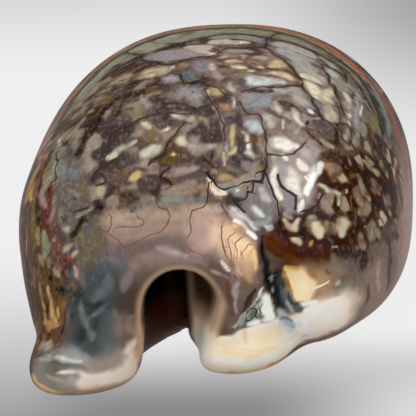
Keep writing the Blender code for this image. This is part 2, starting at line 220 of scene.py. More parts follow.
# ---- widths over which neighbouring surfaces flow into each other ----
FACE_BLEND = 6.0
BELLY_BLEND = 8.0
LEG_BLEND = 8.0
LEFT_LOBE_BLEND = 5.0
MARGIN_BLEND = 4.0
COLLAR_BLEND = 5.0
CREASE_BLEND = 1.6
SPOUT_BLEND = 2.4
RIGHT_LOBE_BLEND = 3.0
SNOUT_BLEND = 6.0
SOLE_BLEND = 2.6
CAVITY_BLEND = 6.0
MOUTH_BLEND = 3.0
LIP_BLEND = 1.6
CANAL_LIP_BLEND = 2.4
CANAL_LIP_RUN = 6.0
CANAL_LIP_RISE = (3.0, 8.0)
CANAL_LIP_LEAST = 0.15
SPOUT_JOINT_BLEND = 1.5
FRONT_LOBES_BLEND = 1.0
CAVITY_REAR_BLEND = 5.0


def blend_min(a, b, k):
    h = np.clip(0.5 + 0.5 * (b - a) / k, 0.0, 1.0)
    return b + (a - b) * h - k * h * (1.0 - h)


def blend_max(a, b, k):
    return -blend_min(-a, -b, k)


def lobe(x, y, z, shape, tilt=0.0):
    centre, radii, turn = shape
    dx, dy, dz = x - centre[0], y - centre[1], z - centre[2]
    ct, st = np.cos(np.radians(turn)), np.sin(np.radians(turn))
    u = dx * ct + dy * st
    v = -dx * st + dy * ct
    cp, sp = np.cos(np.radians(tilt)), np.sin(np.radians(tilt))
    v, w = v * cp + dz * sp, -v * sp + dz * cp
    a = np.sqrt((u / radii[0]) ** 2 + (v / radii[1]) ** 2 + (w / radii[2]) ** 2)
    b = np.sqrt((u / radii[0] ** 2) ** 2 + (v / radii[1] ** 2) ** 2 + (w / radii[2] ** 2) ** 2)
    return a * (a - 1.0) / np.maximum(b, 1e-6)


def limb(x, y, z, shape):
    start, end, start_radius, end_radius = shape
    ax, ay, az = start
    bx, by, bz = end[0] - ax, end[1] - ay, end[2] - az
    t = ((x - ax) * bx + (y - ay) * by + (z - az) * bz) / (bx * bx + by * by + bz * bz)
    t = np.clip(t, 0.0, 1.0)
    d = np.sqrt((x - ax - t * bx) ** 2 + (y - ay - t * by) ** 2 + (z - az - t * bz) ** 2)
    return d - (start_radius + (end_radius - start_radius) * t)


def egg(x, y, z):
    # an egg that is wide at the rear and leans back as it rises
    rise = z - WIDEST_HEIGHT
    upper = TOP_HEIGHT - WIDEST_HEIGHT
    in_dome = rise > 0
    depth = np.where(in_dome, upper, LOWER_DEPTH)
    m = np.where(in_dome, DOME_FULLNESS, FLANK_FULLNESS)
    shifted = y + HUMP_TOWARDS_REAR * np.clip(rise / upper, 0, HUMP_MOST)
    n = np.where(shifted < 0, REAR_FULLNESS, FRONT_FULLNESS)
    length = np.where(shifted < 0, REAR_LENGTH, FRONT_LENGTH)
    across = np.abs(x - BODY_MIDDLE_X) / HALF_WIDTH
    along = np.abs(shifted) / length
    plan = (across ** n + along ** n + 1e-12) ** (1.0 / n)
    high = np.abs(rise) / depth
    a = (plan ** m + high ** m + 1e-12) ** (1.0 / m)
    share = (plan / a) ** (m - 1)
    gz = (high / a) ** (m - 1) / depth
    gx = (across / plan) ** (n - 1) / HALF_WIDTH * share
    gy = (along / plan) ** (n - 1) / length * share
    return (a - 1.0) / np.sqrt(gx ** 2 + gy ** 2 + gz ** 2 + 1e-12)


def dome(x, y, z):
    face = (REAR_FACE_POINT[0] - y) * REAR_FACE_NORMAL[0]
    face = face + (z - REAR_FACE_POINT[1]) * REAR_FACE_NORMAL[1]
    face = face - REAR_FACE_CURVE * (x - REAR_FACE_MIDDLE_X) ** 2
    return blend_max(egg(x, y, z), face, FACE_BLEND)


def bowl(x, y, curves, rise):
    return curves[0] * x * x + curves[1] * (y - BELLY_Y) ** 2 + rise


def outside(x, y, z):
    d = blend_max(dome(x, y, z), bowl(x, y, BELLY_CURVES, BELLY_RISE) - z, BELLY_BLEND)
    d = blend_min(d, limb(x, y, z, LEFT_LEG), LEG_BLEND)
    d = blend_min(d, lobe(x, y, z, REAR_LEFT_LOBE, REAR_LEFT_LOBE_TILT), LEFT_LOBE_BLEND)
    d = blend_min(d, lobe(x, y, z, MARGIN_SHOULDER), MARGIN_BLEND)
    d = blend_min(d, lobe(x, y, z, MARGIN_KNOB), MARGIN_BLEND)
    d = blend_min(d, limb(x, y, z, CANAL_COLLAR), COLLAR_BLEND)
    crease = np.minimum(limb(x, y, z, CREASE_UPPER), limb(x, y, z, CREASE_LOWER))
    d = blend_max(d, -crease, CREASE_BLEND)
    spout = blend_min(limb(x, y, z, SPOUT_UPPER), limb(x, y, z, SPOUT_LOWER), SPOUT_JOINT_BLEND)
    d = blend_min(d, spout, SPOUT_BLEND)
    d = blend_min(d, lobe(x, y, z, REAR_RIGHT_LOBE), RIGHT_LOBE_BLEND)
    d = blend_min(d, limb(x, y, z, FRONT_SNOUT), SNOUT_BLEND)
    front = lobe(x, y, z, FRONT_LEFT_LOBE)
    front = blend_min(front, lobe(x, y, z, FRONT_RIGHT_LOBE), FRONT_LOBES_BLEND)
    d = blend_min(d, front, MARGIN_BLEND)
    d = blend_max(d, bowl(x, y, SOLE_CURVES, SOLE_RISE) - z, SOLE_BLEND)
    return np.maximum(d, -z)


def station_value(y, values):
    ys = np.array(MOUTH_Y)
    vs = np.array(values)
    slopes = np.gradient(vs, ys)
    i = np.clip(np.searchsorted(ys, y) - 1, 0, len(ys) - 2)
    h = ys[i + 1] - ys[i]
    t = np.clip((y - ys[i]) / h, 0.0, 1.0)
    rest = (2 * t ** 3 - 3 * t ** 2 + 1) * vs[i] + (t ** 3 - 2 * t ** 2 + t) * h * slopes[i]
    return rest + (3 * t ** 2 - 2 * t ** 3) * vs[i + 1] + (t ** 3 - t ** 2) * h * slopes[i + 1]


def mouth_section(y, z):
    # middle, half width and roof height of the mouth at a station along Y
    near = np.clip((CANAL_Y - y) / LEAN_RUN, 0.0, 1.0) * (np.minimum(z, LEAN_TOP_Z) - LEAN_ABOUT_Z)
    left = station_value(y, MOUTH_LEFT) + LEFT_LEAN * near
    right = station_value(y, MOUTH_RIGHT) + RIGHT_LEAN * near
    return (left + right) / 2, (right - left) / 2, station_value(y, MOUTH_ROOF)


def teeth(y, z):
    # how far the gaps between the teeth are cut back from the slit
    along = np.clip((y - TOOTH_SPAN[0]) / TOOTH_FADE, 0.0, 1.0)
    along = along * np.clip((TOOTH_SPAN[1] - y) / TOOTH_FADE, 0.0, 1.0)
    low = np.clip(1.0 - (z - TOOTH_FOOT_Z) / TOOTH_REACH, 0.0, 1.0)
    return TOOTH_DEPTH * along * low * (1.0 + np.cos(2.0 * np.pi * y / TOOTH_PITCH))


def cavity(x, y, z):
    hollow = blend_max(dome(x, y, z) + DORSUM_WALL, BASE_THICKNESS - z, CAVITY_BLEND)
    rear = CAVITY_REAR_Y - y - CAVITY_REAR_SLANT * np.abs(x - CAVITY_REAR_X)
    return blend_max(hollow, rear, CAVITY_REAR_BLEND)


def opening(x, y, z):
    middle, half, roof = mouth_section(y, z)
    slot = np.sqrt((x - middle) ** 2 + np.maximum(z - roof, 0.0) ** 2) - half - teeth(y, z)
    return blend_min(slot * SLOT_STEEPNESS, cavity(x, y, z), MOUTH_BLEND)


def shell(x, y, z):
    # the lip is rounder along the rear canal, most of all above its foot
    foot, rise = CANAL_LIP_RISE
    rear = np.clip((CANAL_Y - y) / CANAL_LIP_RUN, 0.0, 1.0) * np.clip((z - foot) / rise, CANAL_LIP_LEAST, 1.0)
    return blend_max(outside(x, y, z), -opening(x, y, z), LIP_BLEND + CANAL_LIP_BLEND * rear)


def slope(field, p):
    out = np.zeros_like(p)
    for axis in range(3):
        ahead = p.copy()
        behind = p.copy()
        ahead[:, axis] += SLOPE_STEP
        behind[:, axis] -= SLOPE_STEP
        out[:, axis] = field(*ahead.T) - field(*behind.T)
    return out / (2.0 * SLOPE_STEP)


def settle(field, p, rounds):
    # move each point down the slope of the field until it lies on the surface
    for _ in range(rounds):
        g = slope(field, p)
        size = np.maximum((g ** 2).sum(axis=1), 0.05)
        move = -field(*p.T)[:, None] * g / size[:, None]
        length = np.linalg.norm(move, axis=1, keepdims=True)
        p = p + move * np.minimum(1.0, SETTLE_REACH / np.maximum(length, 1e-9))
    return p


def unit(v):
    return v / np.maximum(np.linalg.norm(v, axis=1, keepdims=True), 1e-6)


def read_points(mesh):
    flat = np.zeros(len(mesh.vertices) * 3)
    mesh.vertices.foreach_get("co", flat)
    return flat.reshape(-1, 3)


def write_points(mesh, p):
    mesh.vertices.foreach_set("co", p.ravel())
    mesh.update()


def slide_onto(mesh, field, rounds):
    # slide the vertices towards the middle of their neighbours, then back onto the field
    p = read_points(mesh)
    edges = np.zeros(len(mesh.edges) * 2, dtype=np.int32)
    mesh.edges.foreach_get("vertices", edges)
    one, two = edges.reshape(-1, 2).T
    count = np.bincount(one, minlength=len(p)) + np.bincount(two, minlength=len(p))
    p = settle(field, p, 3)
    for _ in range(rounds):
        total = np.zeros_like(p)
        for axis in range(3):
            total[:, axis] = np.bincount(one, p[two, axis], len(p))
            total[:, axis] += np.bincount(two, p[one, axis], len(p))
        g = unit(slope(field, p))
        pull = total / count[:, None] - p
        pull = pull - (pull * g).sum(axis=1, keepdims=True) * g
        p = settle(field, p + 0.5 * pull, 1)
    return settle(field, p, 2)


def split_faces(skin, wanted, cuts):
    # cut the wanted faces into smaller ones
    mesh = skin.data
    count = len(mesh.polygons)
    centre = np.zeros(count * 3)
    facing = np.zeros(count * 3)
    area = np.zeros(count)
    mesh.polygons.foreach_get("center", centre)
    mesh.polygons.foreach_get("normal", facing)
    mesh.polygons.foreach_get("area", area)
    chosen = wanted(centre.reshape(-1, 3), facing.reshape(-1, 3) @ np.array(REAR_AND_UP), area)
    bpy.ops.object.mode_set(mode="EDIT")
    bpy.ops.mesh.select_mode(type="FACE")
    bpy.ops.mesh.select_all(action="DESELECT")
    bpy.ops.object.mode_set(mode="OBJECT")
    mesh.polygons.foreach_set("select", chosen)
    bpy.ops.object.mode_set(mode="EDIT")
    bpy.ops.mesh.subdivide(number_cuts=cuts)
    bpy.ops.object.mode_set(mode="OBJECT")


def marked_part(c, facing, area):
    # the rear end and the hump, where the markings are small
    marked = (facing > MARKED_FACING) & (outside(*c.T) > -SKIN_DEPTH)
    return marked & (c[:, 1] < MARKED_END_Y) & (c[:, 2] > MARKED_FOOT_Z)


def rim_part(c, facing, area):
    # the turning edge of the marked part, and the lips and teeth of the mouth
    turning = (facing > TURNING_FACING) & (outside(*c.T) > -SKIN_DEPTH) & (c[:, 1] < RIM_END_Y)
    lips = (np.abs(opening(*c.T)) < LIP_REACH) & (outside(*c.T) > -LIP_DEPTH) & (c[:, 2] < LIP_TOP_Z)
    return (turning | lips) & (area > SPLIT_AREA)


def grow_skin():
    # an even skin of small faces, slid onto the exact shape of the shell, finer where it is marked
    bpy.ops.object.select_all(action="DESELECT")
    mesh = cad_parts["shell"].data.copy()
    mesh.materials.clear()
    skin = bpy.data.objects.new("shell_skin", mesh)
    bpy.context.collection.objects.link(skin)
    skin.select_set(True)
    bpy.context.view_layer.objects.active = skin
    bpy.ops.object.mode_set(mode="EDIT")
    bpy.ops.mesh.select_all(action="SELECT")
    bpy.ops.mesh.remove_doubles(threshold=1e-6)
    bpy.ops.object.mode_set(mode="OBJECT")
    to_shape = Matrix.Translation(Vector(HUMP_AXIS)) @ Matrix.Diagonal((1 / MM, 1 / MM, 1 / MM, 1.0))
    skin.data.transform(to_shape)
    remesh = skin.modifiers.new("Even skin", "REMESH")
    remesh.mode = "VOXEL"
    remesh.voxel_size = SKIN_GRAIN
    bpy.ops.object.modifier_apply(modifier=remesh.name)
    p = slide_onto(skin.data, shell, SKIN_ROUNDS)
    write_points(skin.data, p)
    split_faces(skin, marked_part, MARKED_CUTS)
    split_faces(skin, rim_part, 1)
    p = slide_onto(skin.data, shell, FINE_ROUNDS)
    p[:, 2] = np.maximum(p[:, 2], 0.0)
    write_points(skin.data, p)
    skin.data.shade_smooth()
    return skin, p, to_shape


# ---- the airbrush ----
def tint(r, g, b):
    # a colour as seen on a screen, turned into linear light
    v = np.array([r, g, b]) / 255.0
    return np.where(v <= 0.04045, v / 12.92, ((v + 0.055) / 1.055) ** 2.4)


def ease(v):
    v = np.clip(v, 0.0, 1.0)
    return v * v * (3.0 - 2.0 * v)


def above(v, level, over):
    # 0 up to a level, easing to 1 over the given distance
    return ease((v - level) / over)


def below(v, level, over):
    # 0 from a level upwards, easing to 1 over the given distance below it
    return ease((level - v) / over)


def cloud(p, size, seed):
    # soft random values from 0 to 1 that change over the given size
    q = p / size + 19.7 * seed
    corner = np.floor(q)
    f = ease(q - corner)
    total = np.zeros(len(p))
    for k in range(8):
        step = np.array([k & 1, k >> 1 & 1, k >> 2 & 1])
        chance = np.abs(np.modf(np.sin((corner + step) @ np.array([12.99, 78.23, 37.72])) * 4375.85)[0])
        total += chance * np.prod(np.where(step, f, 1.0 - f), axis=1)
    return total


def wander(p, pushes, seed):
    # each point pushed about by cloudy vectors, each with its size and its reach
    for k, (size, reach) in enumerate(pushes):
        push = np.stack([cloud(p, size, seed + k + part) for part in (0.0, 0.37, 0.71)], axis=1)
        p = p + reach * (2.0 * push - 1.0)
    return p


def meet_skin(start, way):
    # the first point of the shell met from each start
    p = np.array(start, dtype=float)
    way = np.array(way)
    for _ in range(MEET_STEPS):
        p = p + np.clip(MEET_SHARE * shell(*p.T), 0.0, MEET_REACH)[:, None] * way
    return p


def along_route(p, route, up):
    # distance of each point from a chain of points, its share of the way along, and its distance to the left
    best = np.full(len(p), 1e9)
    share = np.zeros(len(p))
    left = np.zeros(len(p))
    count = max(len(route) - 1, 1)
    for k in range(count):
        a, b = route[k], route[min(k + 1, len(route) - 1)]
        length = max(np.linalg.norm(b - a), 1e-6)
        t = np.clip(((p - a) @ (b - a)) / length ** 2, 0.0, 1.0)
        off = p - a - t[:, None] * (b - a)
        d = np.linalg.norm(off, axis=1)
        share = np.where(d < best, (k + t) / count, share)
        left = np.where(d < best, (off * np.cross(up, (b - a) / length)).sum(axis=1), left)
        best = np.minimum(best, d)
    return best, share, left


def broader(width, times=1.0, more=0.0):
    # a mark's width at its start and at its end, made broader
    first, last = width if isinstance(width, tuple) else (width, width)
    return times * first + more, times * last + more


class Airbrush:
    """Colour sprayed on the skin, one value for each vertex."""

    def __init__(self, p, colour):
        x, y, z = p.T
        self.p = p
        self.loose = wander(p, LOOSE_PUSHES, 1.0)
        self.tight = wander(p, TIGHT_PUSHES, 3.0)
        # how much a mark swells at each place, and how thick its paint is there
        self.swell = 0.6 * cloud(p, 1.5, 5.0) - 0.25
        self.thick = 0.6 + 0.8 * cloud(p, 0.9, 6.0)
        self.colour = np.tile(tint(*colour), (len(p), 1))
        self.marked = np.zeros(len(p))
        self.up = unit(slope(shell, p))
        # hair lines: their colour, how strong they are, and how many line widths the skin lies to their left
        self.ink = np.zeros((len(p), 3))
        self.line = np.zeros(len(p))
        self.left = np.full(len(p), FAR_LEFT)
        self.nearest = np.full(len(p), HAIR_REACH)
        # walls of the mouth and the hollow, and the open skin outside them
        self.gap = opening(x, y, z)
        self.inner = above(-outside(x, y, z), INNER_DEPTH, INNER_FADE)
        self.open = 1.0 - self.inner
        # the top of the hump, and how far out the skin lies: 1 along the hump's far rim
        self.high = above(z, 24.0, 5.0) * self.open
        out_x = (x - RIM_MIDDLE[0]) / RIM_REACH[0]
        out_y = np.maximum(y - RIM_MIDDLE[1], 0.0) / RIM_REACH[1]
        self.rim = np.hypot(out_x, out_y)

    def lay(self, colour, amount):
        self.colour += (tint(*colour) - self.colour) * amount[:, None]

    def mottle(self, colour, size, seed, level, where, soft=0.12):
        # cloudy blotches of one colour, laid where the soft random value is high
        grain = np.array(size)
        n = COARSE_SHARE * cloud(self.loose, grain, seed)
        n = n + (1.0 - COARSE_SHARE) * cloud(self.loose, FINE_SIZE * grain, seed + 0.5)
        self.lay(colour, where * ease((n - level) / soft + 0.5))

    def patch(self, centre, radii, edge=0.45):
        d = np.linalg.norm((self.loose - np.array(centre)) / np.array(radii), axis=1)
        return below(d, 1.0 + edge, 2.0 * edge)

    def dab(self, colour, centre, radii, amount=1.0, edge=0.45):
        self.lay(colour, amount * self.patch(centre, radii, edge))

    def stroke(self, colour, width, route, amount, edge):
        # a line or a blot, whose width may change from its start to its end
        first, last = broader(width)
        reach = 0.5 * max(first, last) * (1.0 + edge) + SPARE
        near = np.all((self.p > route.min(axis=0) - reach) & (self.p < route.max(axis=0) + reach), axis=1)
        hair = max(first, last) < THIN_LINE
        way = self.tight if hair else self.loose
        d, share, left = along_route(way[near], route, self.up[near])
        half = 0.5 * (first + (last - first) * share)
        if hair:
            self.scratch(colour, np.flatnonzero(near), d, share, left / (half * self.thick[near]), amount)
            return
        half = half + self.swell[near] * np.minimum(half, MOST_SWELL) * min(1.0, 1.6 * (1.0 - edge))
        if max(first, last) < BROAD:
            half = half * (1.0 - END_TAPER * (2.0 * share - 1.0) ** 2)
        cover = np.minimum(amount * self.thick[near], 1.0) * below(d / half, 1.0 + edge, 2.0 * edge)
        cover = cover * self.open[near]
        self.colour[near] += (tint(*colour) - self.colour[near]) * cover[:, None]
        if max(first, last) < BROAD:
            self.marked[near] = np.maximum(self.marked[near], cover)

    def scratch(self, colour, near, d, share, left, amount):
        # a hair line shows where the skin passes from one side of it to the other
        here = (d < self.nearest[near]) & (share > 0.0) & (share < 1.0)
        near = near[here]
        self.nearest[near] = d[here]
        self.left[near] = left[here]
        self.ink[near] = tint(*colour)
        self.line[near] = amount * below(d[here], HAIR_REACH, HAIR_FADE) * self.open[near]

    def front(self, colour, width, *route, amount=1.0, edge=0.5):
        # the route is given as seen from the front, by (x, z)
        start = [(x, FRONT_START_Y, z) for x, z in route]
        self.stroke(colour, width, meet_skin(start, (0.0, 1.0, 0.0)), amount, edge)

    def crown(self, colour, width, *route, amount=1.0, edge=0.5):
        # the route is given as seen from above, by (x, y)
        start = [(x, y, CROWN_START_Z) for x, y in route]
        self.stroke(colour, width, meet_skin(start, (0.0, 0.0, -1.0)), amount, edge)


def spray(chart, marks, **how):
    # every mark of a table: its colour, its width and the points of its route
    for colour, width, *route in marks:
        chart(colour, width, *route, **how)


# ---- markings of the hump, seen from above: colour, width, points (x, y) ----
LEFT_SHOULDER = [
    ((150, 146, 128), 3.4, (-17, -2), (-18.6, -5), (-18.8, -9), (-19, -13), (-19.2, -18)),
    ((138, 130, 120), 2, (-17.6, -10), (-17.8, -13)),
    ((162, 158, 130), 2, (-19.6, -5), (-20.4, -10), (-20.8, -14), (-20.4, -18.4)),
    # painted highlight
    ((194, 196, 172), 0.9, (-21, -13), (-20.8, -17.6)),
    ((174, 168, 130), 2.4, (-18.4, -14.4), (-18, -17)),
    ((130, 128, 112), 2.4, (-19.4, -20.4), (-18.8, -23)),
    ((84, 66, 52), 0.8, (-19.2, -13.2), (-19, -14)),
    ((90, 76, 62), 0.4, (-18.9, -10), (-19, -11.8)),
    ((122, 116, 100), 0.4, (-18, -4), (-18.2, -8)),
    ((118, 108, 84), 0.4, (-20, -8), (-20.2, -12.4)),
    # olive and rose stripes along the rim: painted reflection
    ((88, 78, 34), (1.6, 1.8), (-20.8, -3), (-22, -8), (-22.7, -13), (-22.2, -19.6)),
    ((150, 112, 86), 1.7, (-22.6, -3), (-23.9, -9), (-24.4, -15), (-24.4, -20)),
    ((152, 88, 68), 1.3, (-23.8, -3), (-24.9, -9)),
    ((188, 146, 92), 1.8, (-25.3, -17), (-24.9, -23)),
]
CROWN_BLOTS = [
    ((168, 174, 162), 1.2, (-2, -20.4), (-0.6, -20.5)),
    ((162, 158, 138), 0.9, (0.1, -20.8), (1, -20.5)),
    ((150, 142, 134), 1.4, (0.5, -23), (1.3, -23.4)),
    ((122, 98, 62), 1.6, (-6.6, -22.4), (-5, -22.2)),
    ((176, 176, 152), 1, (-7.2, -21.2), (-6, -21.4)),
    ((202, 192, 162), 0.6, (-3.5, -21.8), (-3.2, -21.8)),
    ((176, 174, 158), 1.3, (-7, -24.3), (-4.3, -23.7)),
    ((178, 174, 150), 0.8, (-1.6, -23.1), (-0.2, -23.3)),
    ((112, 84, 40), 2, (-3.4, -24.7), (-2.2, -24.8)),
    ((206, 190, 150), 0.6, (-2.5, -24.4), (-2.3, -24.4)),
    ((172, 172, 156), (0.7, 1), (-12.5, -25), (-11, -24.2), (-9.6, -23.6)),
    ((158, 158, 146), (1, 0.6), (-10.4, -23.8), (-8.2, -22.9)),
    ((130, 114, 88), 1.6, (-8.6, -19.5), (-6.6, -18.8)),
    ((142, 134, 128), (0.7, 1.2), (-7.4, -16.2), (-6.4, -17.6), (-5.8, -18.6)),
    ((150, 146, 150), 2.2, (-3.8, -13.1), (-2.6, -12.9)),
    ((184, 172, 146), 2.5, (-7.2, -10), (-4.8, -10.4)),
    ((202, 198, 186), 0.9, (-3.5, -9.4), (-3.2, -9.6)),
    ((150, 128, 100), 1.4, (-2, -9.3), (-1.2, -9.4)),
    ((134, 128, 132), 2.8, (1.4, -8.8), (1.8, -10.6)),
    ((106, 112, 114), 2.2, (-0.9, -11.4), (0.2, -13.2)),
    ((136, 132, 134), 2.4, (-0.4, -16.4), (0.8, -17.4)),
    ((190, 178, 160), 1, (3.1, -9.6), (3.6, -11.2)),
    ((150, 138, 132), 1, (3.8, -11.8), (4.4, -14.4)),
    ((172, 162, 122), 1.5, (3.4, -16.8), (4.8, -17)),
    ((208, 192, 164), 0.5, (2.7, -16.6), (3.4, -18.6), (3.9, -19.6)),
    ((152, 138, 126), 0.5, (1.9, -20.6), (3.1, -22.8)),
    ((158, 148, 140), 1.2, (0.4, -23.6), (2, -24), (3.6, -23.9)),
    ((170, 160, 154), 1, (5.9, -15), (6.6, -16.6)),
    ((152, 122, 106), 1.5, (5.1, -19), (5.9, -19.4)),
    ((178, 172, 166), 0.6, (6.7, -17.8), (6.8, -19.4)),
    ((162, 152, 152), 0.6, (4.1, -19.9), (5.4, -22.2), (5.7, -24.4)),
    ((196, 176, 146), 0.8, (4.9, -8.5), (7.3, -7.6)),
    ((206, 188, 152), 1.4, (6.3, -10), (7.3, -10)),
    ((206, 192, 160), 0.9, (8.6, -10.6), (9, -10.8)),
    ((190, 174, 146), 0.9, (9.8, -8.7), (10.4, -8.4)),
    ((202, 182, 150), (1.3, 1.7), (12.1, -9.7), (15.2, -9.4)),
    ((196, 174, 142), (1.2, 2.2), (11.7, -7.8), (13.3, -5.2)),
    ((182, 162, 142), 0.8, (3.6, -7), (4.4, -6.7)),
    ((176, 150, 126), 0.6, (7.2, -5.2), (7.4, -6.8)),
    ((170, 156, 144), 1.6, (9.4, -5.4), (10.8, -5)),
    ((200, 178, 152), 1.2, (2.3, -5.2), (2.9, -4.8)),
    ((168, 158, 150), 0.6, (6.4, -12.7), (6.9, -12.5)),
    ((184, 188, 186), (2.4, 1.8), (9.8, -13.6), (13.2, -12.3)),
    ((160, 164, 164), 1.6, (12.6, -15.2), (14.4, -14.3)),
    ((164, 156, 150), 2.4, (15.6, -13.6), (16.8, -15.2)),
    ((134, 140, 144), 2.6, (9.6, -18.2), (10.8, -17.6)),
    ((210, 202, 178), (2.4, 3.2), (18, -9.8), (19.6, -11.8)),
    ((198, 190, 168), (1.2, 2.2), (20.7, -6.8), (20.2, -9.4)),
    ((198, 188, 172), 1.4, (16.4, -7.1), (18.6, -6.4)),
    ((176, 166, 148), 2.2, (20.6, -14), (20.9, -16.2)),
    ((124, 130, 140), 1, (19.2, -14.4), (19.5, -15.6)),
    ((190, 196, 200), 1.1, (17.7, -17), (17.9, -17.1)),
    ((198, 190, 184), (0.6, 1.1), (19.2, -17.8), (18.4, -19.6)),
    ((190, 182, 178), 0.8, (15.7, -18.4), (16.4, -19.4), (17.4, -20.8)),
    ((174, 164, 158), 0.9, (13.4, -17.8), (13.8, -19.6)),
    ((182, 170, 166), 0.5, (14.2, -20.4), (14.3, -21.6)),
    ((162, 162, 148), 1.8, (11.4, -20.4), (12.2, -21.4)),
    ((214, 208, 200), (2, 1.6), (13.4, -23.5), (16.2, -23.6)),
    ((162, 170, 170), 1.5, (9.4, -21.4), (10.7, -22.2)),
    ((198, 190, 172), 0.7, (8.4, -22.6), (9.4, -23.4)),
    ((196, 194, 184), 0.8, (9.6, -24), (9.9, -25.2)),
    ((196, 194, 184), 0.7, (9, -24.6), (11.2, -25)),
    ((176, 162, 126), 0.8, (6.8, -21.8), (6.6, -24)),
    ((182, 168, 136), 0.7, (6, -24.6), (7.5, -24.1)),
    ((150, 132, 104), 1.2, (4.6, -26.6), (6.4, -26.6)),
    ((186, 176, 162), 1.2, (23, -5), (23.2, -7.6)),
    ((208, 196, 178), 0.8, (24, -11.4), (23.9, -12.4)),
    ((196, 180, 160), 0.8, (23.8, -13.8), (23.9, -14.4)),
    ((164, 166, 150), 0.8, (23.2, -11.8), (23.3, -12.6)),
    ((152, 152, 146), 1.2, (23.6, -16), (23.6, -18.6)),
    ((156, 156, 156), 1.1, (24.6, -4), (25, -10), (24.9, -18)),
    ((208, 206, 192), 0.5, (25.3, -4.4), (25.4, -9)),
    ((152, 150, 140), 1.1, (25.9, -10.4), (26, -14)),
    ((138, 122, 78), 1.5, (27.1, -4), (27.2, -9.4)),
    ((112, 110, 88), 0.6, (27.8, -11.6), (27.8, -12.6)),
    ((104, 104, 94), 1.1, (27.4, -15.2), (27.8, -15.8)),
    ((110, 124, 122), 1, (29.5, -3), (29.4, -9)),
    ((200, 162, 138), 0.9, (30.5, -8.8), (30.4, -14)),
]
CROWN_DARKS = [
    ((52, 34, 20), (1.3, 1.8), (-11.4, -15.8), (-13.4, -17.4), (-14.8, -19.2), (-16, -21.2), (-17, -23)),
    ((108, 62, 20), 0.7, (-12.8, -15.4), (-14.9, -18), (-16.4, -20.4)),
    ((76, 58, 54), 1.3, (7.7, -20.2), (8, -21.4)),
    ((82, 66, 66), 1.7, (8.2, -25), (9.2, -25.4)),
    ((84, 68, 66), 1.6, (7.4, -25), (7.9, -26)),
    ((88, 70, 72), 1.3, (4.7, -24.8), (5.1, -25.8)),
    ((80, 64, 64), 1.2, (2.4, -22.2), (3, -23)),
    ((88, 68, 62), 1.4, (10.6, -23.8), (10.9, -25)),
    ((78, 58, 54), 0.9, (8, -16.6), (10, -16.2), (12, -15.8)),
    ((90, 70, 64), 2.4, (-10.6, -26.6), (-9, -26.8)),
    ((100, 84, 80), 2.4, (-1.2, -26.2), (2.2, -26.5)),
    ((72, 58, 62), 0.9, (-4, -19.2), (-2, -19.1), (0.4, -19.4)),
    ((62, 34, 16), (1.5, 0.8), (-6.4, -6.4), (-4.8, -7.8)),
    ((56, 34, 18), 0.9, (-0.4, -14.4), (0.8, -13.9)),
    ((52, 46, 52), 0.5, (0.4, -16.5), (0.8, -16.8)),
    ((58, 62, 66), 0.5, (-0.9, -12), (-0.2, -13)),
    ((134, 94, 34), 0.7, (-1.6, -22.4), (-3, -23.6)),
    ((70, 56, 58), 1.5, (6.4, -21), (7, -21)),
    ((74, 62, 66), 1.3, (8.4, -23), (8, -24.4)),
    ((74, 60, 62), 1.1, (4.9, -22.6), (4.9, -23.2)),
    ((70, 56, 62), 1, (5.6, -25.4), (7.8, -25.6)),
    ((78, 64, 68), 1.1, (10.8, -25.4), (11.3, -26.2)),
    ((96, 84, 88), 1.6, (7.6, -14), (8, -14.8)),
    ((96, 56, 16), 0.9, (10, -23), (10.3, -23.5)),
    ((118, 92, 78), 0.5, (8, -9.3), (11.4, -8.9)),
    ((128, 102, 86), 0.7, (9.8, -11.5), (14, -10.8)),
    ((112, 80, 62), 0.5, (11, -9), (13.2, -8.2), (15.4, -8)),
    ((100, 86, 80), 2.8, (19.6, -19), (21.4, -19.6)),
    ((72, 38, 16), 0.7, (18.2, -19.5), (18.2, -21.8), (20.2, -22.5)),
    ((66, 32, 10), 1.2, (21.9, -17.8), (22.2, -20), (22.7, -22), (23.6, -24), (24.2, -26)),
    ((50, 34, 18), 1.1, (28.2, -4), (28.4, -9), (28.2, -14)),
    ((86, 62, 22), 0.8, (26.8, -10), (26.6, -15)),
    ((66, 56, 40), 1.3, (24, 3), (25.4, 1), (26.6, -1.6)),
    ((62, 40, 24), 1.2, (29, -10), (28.8, -16), (28, -21)),
]
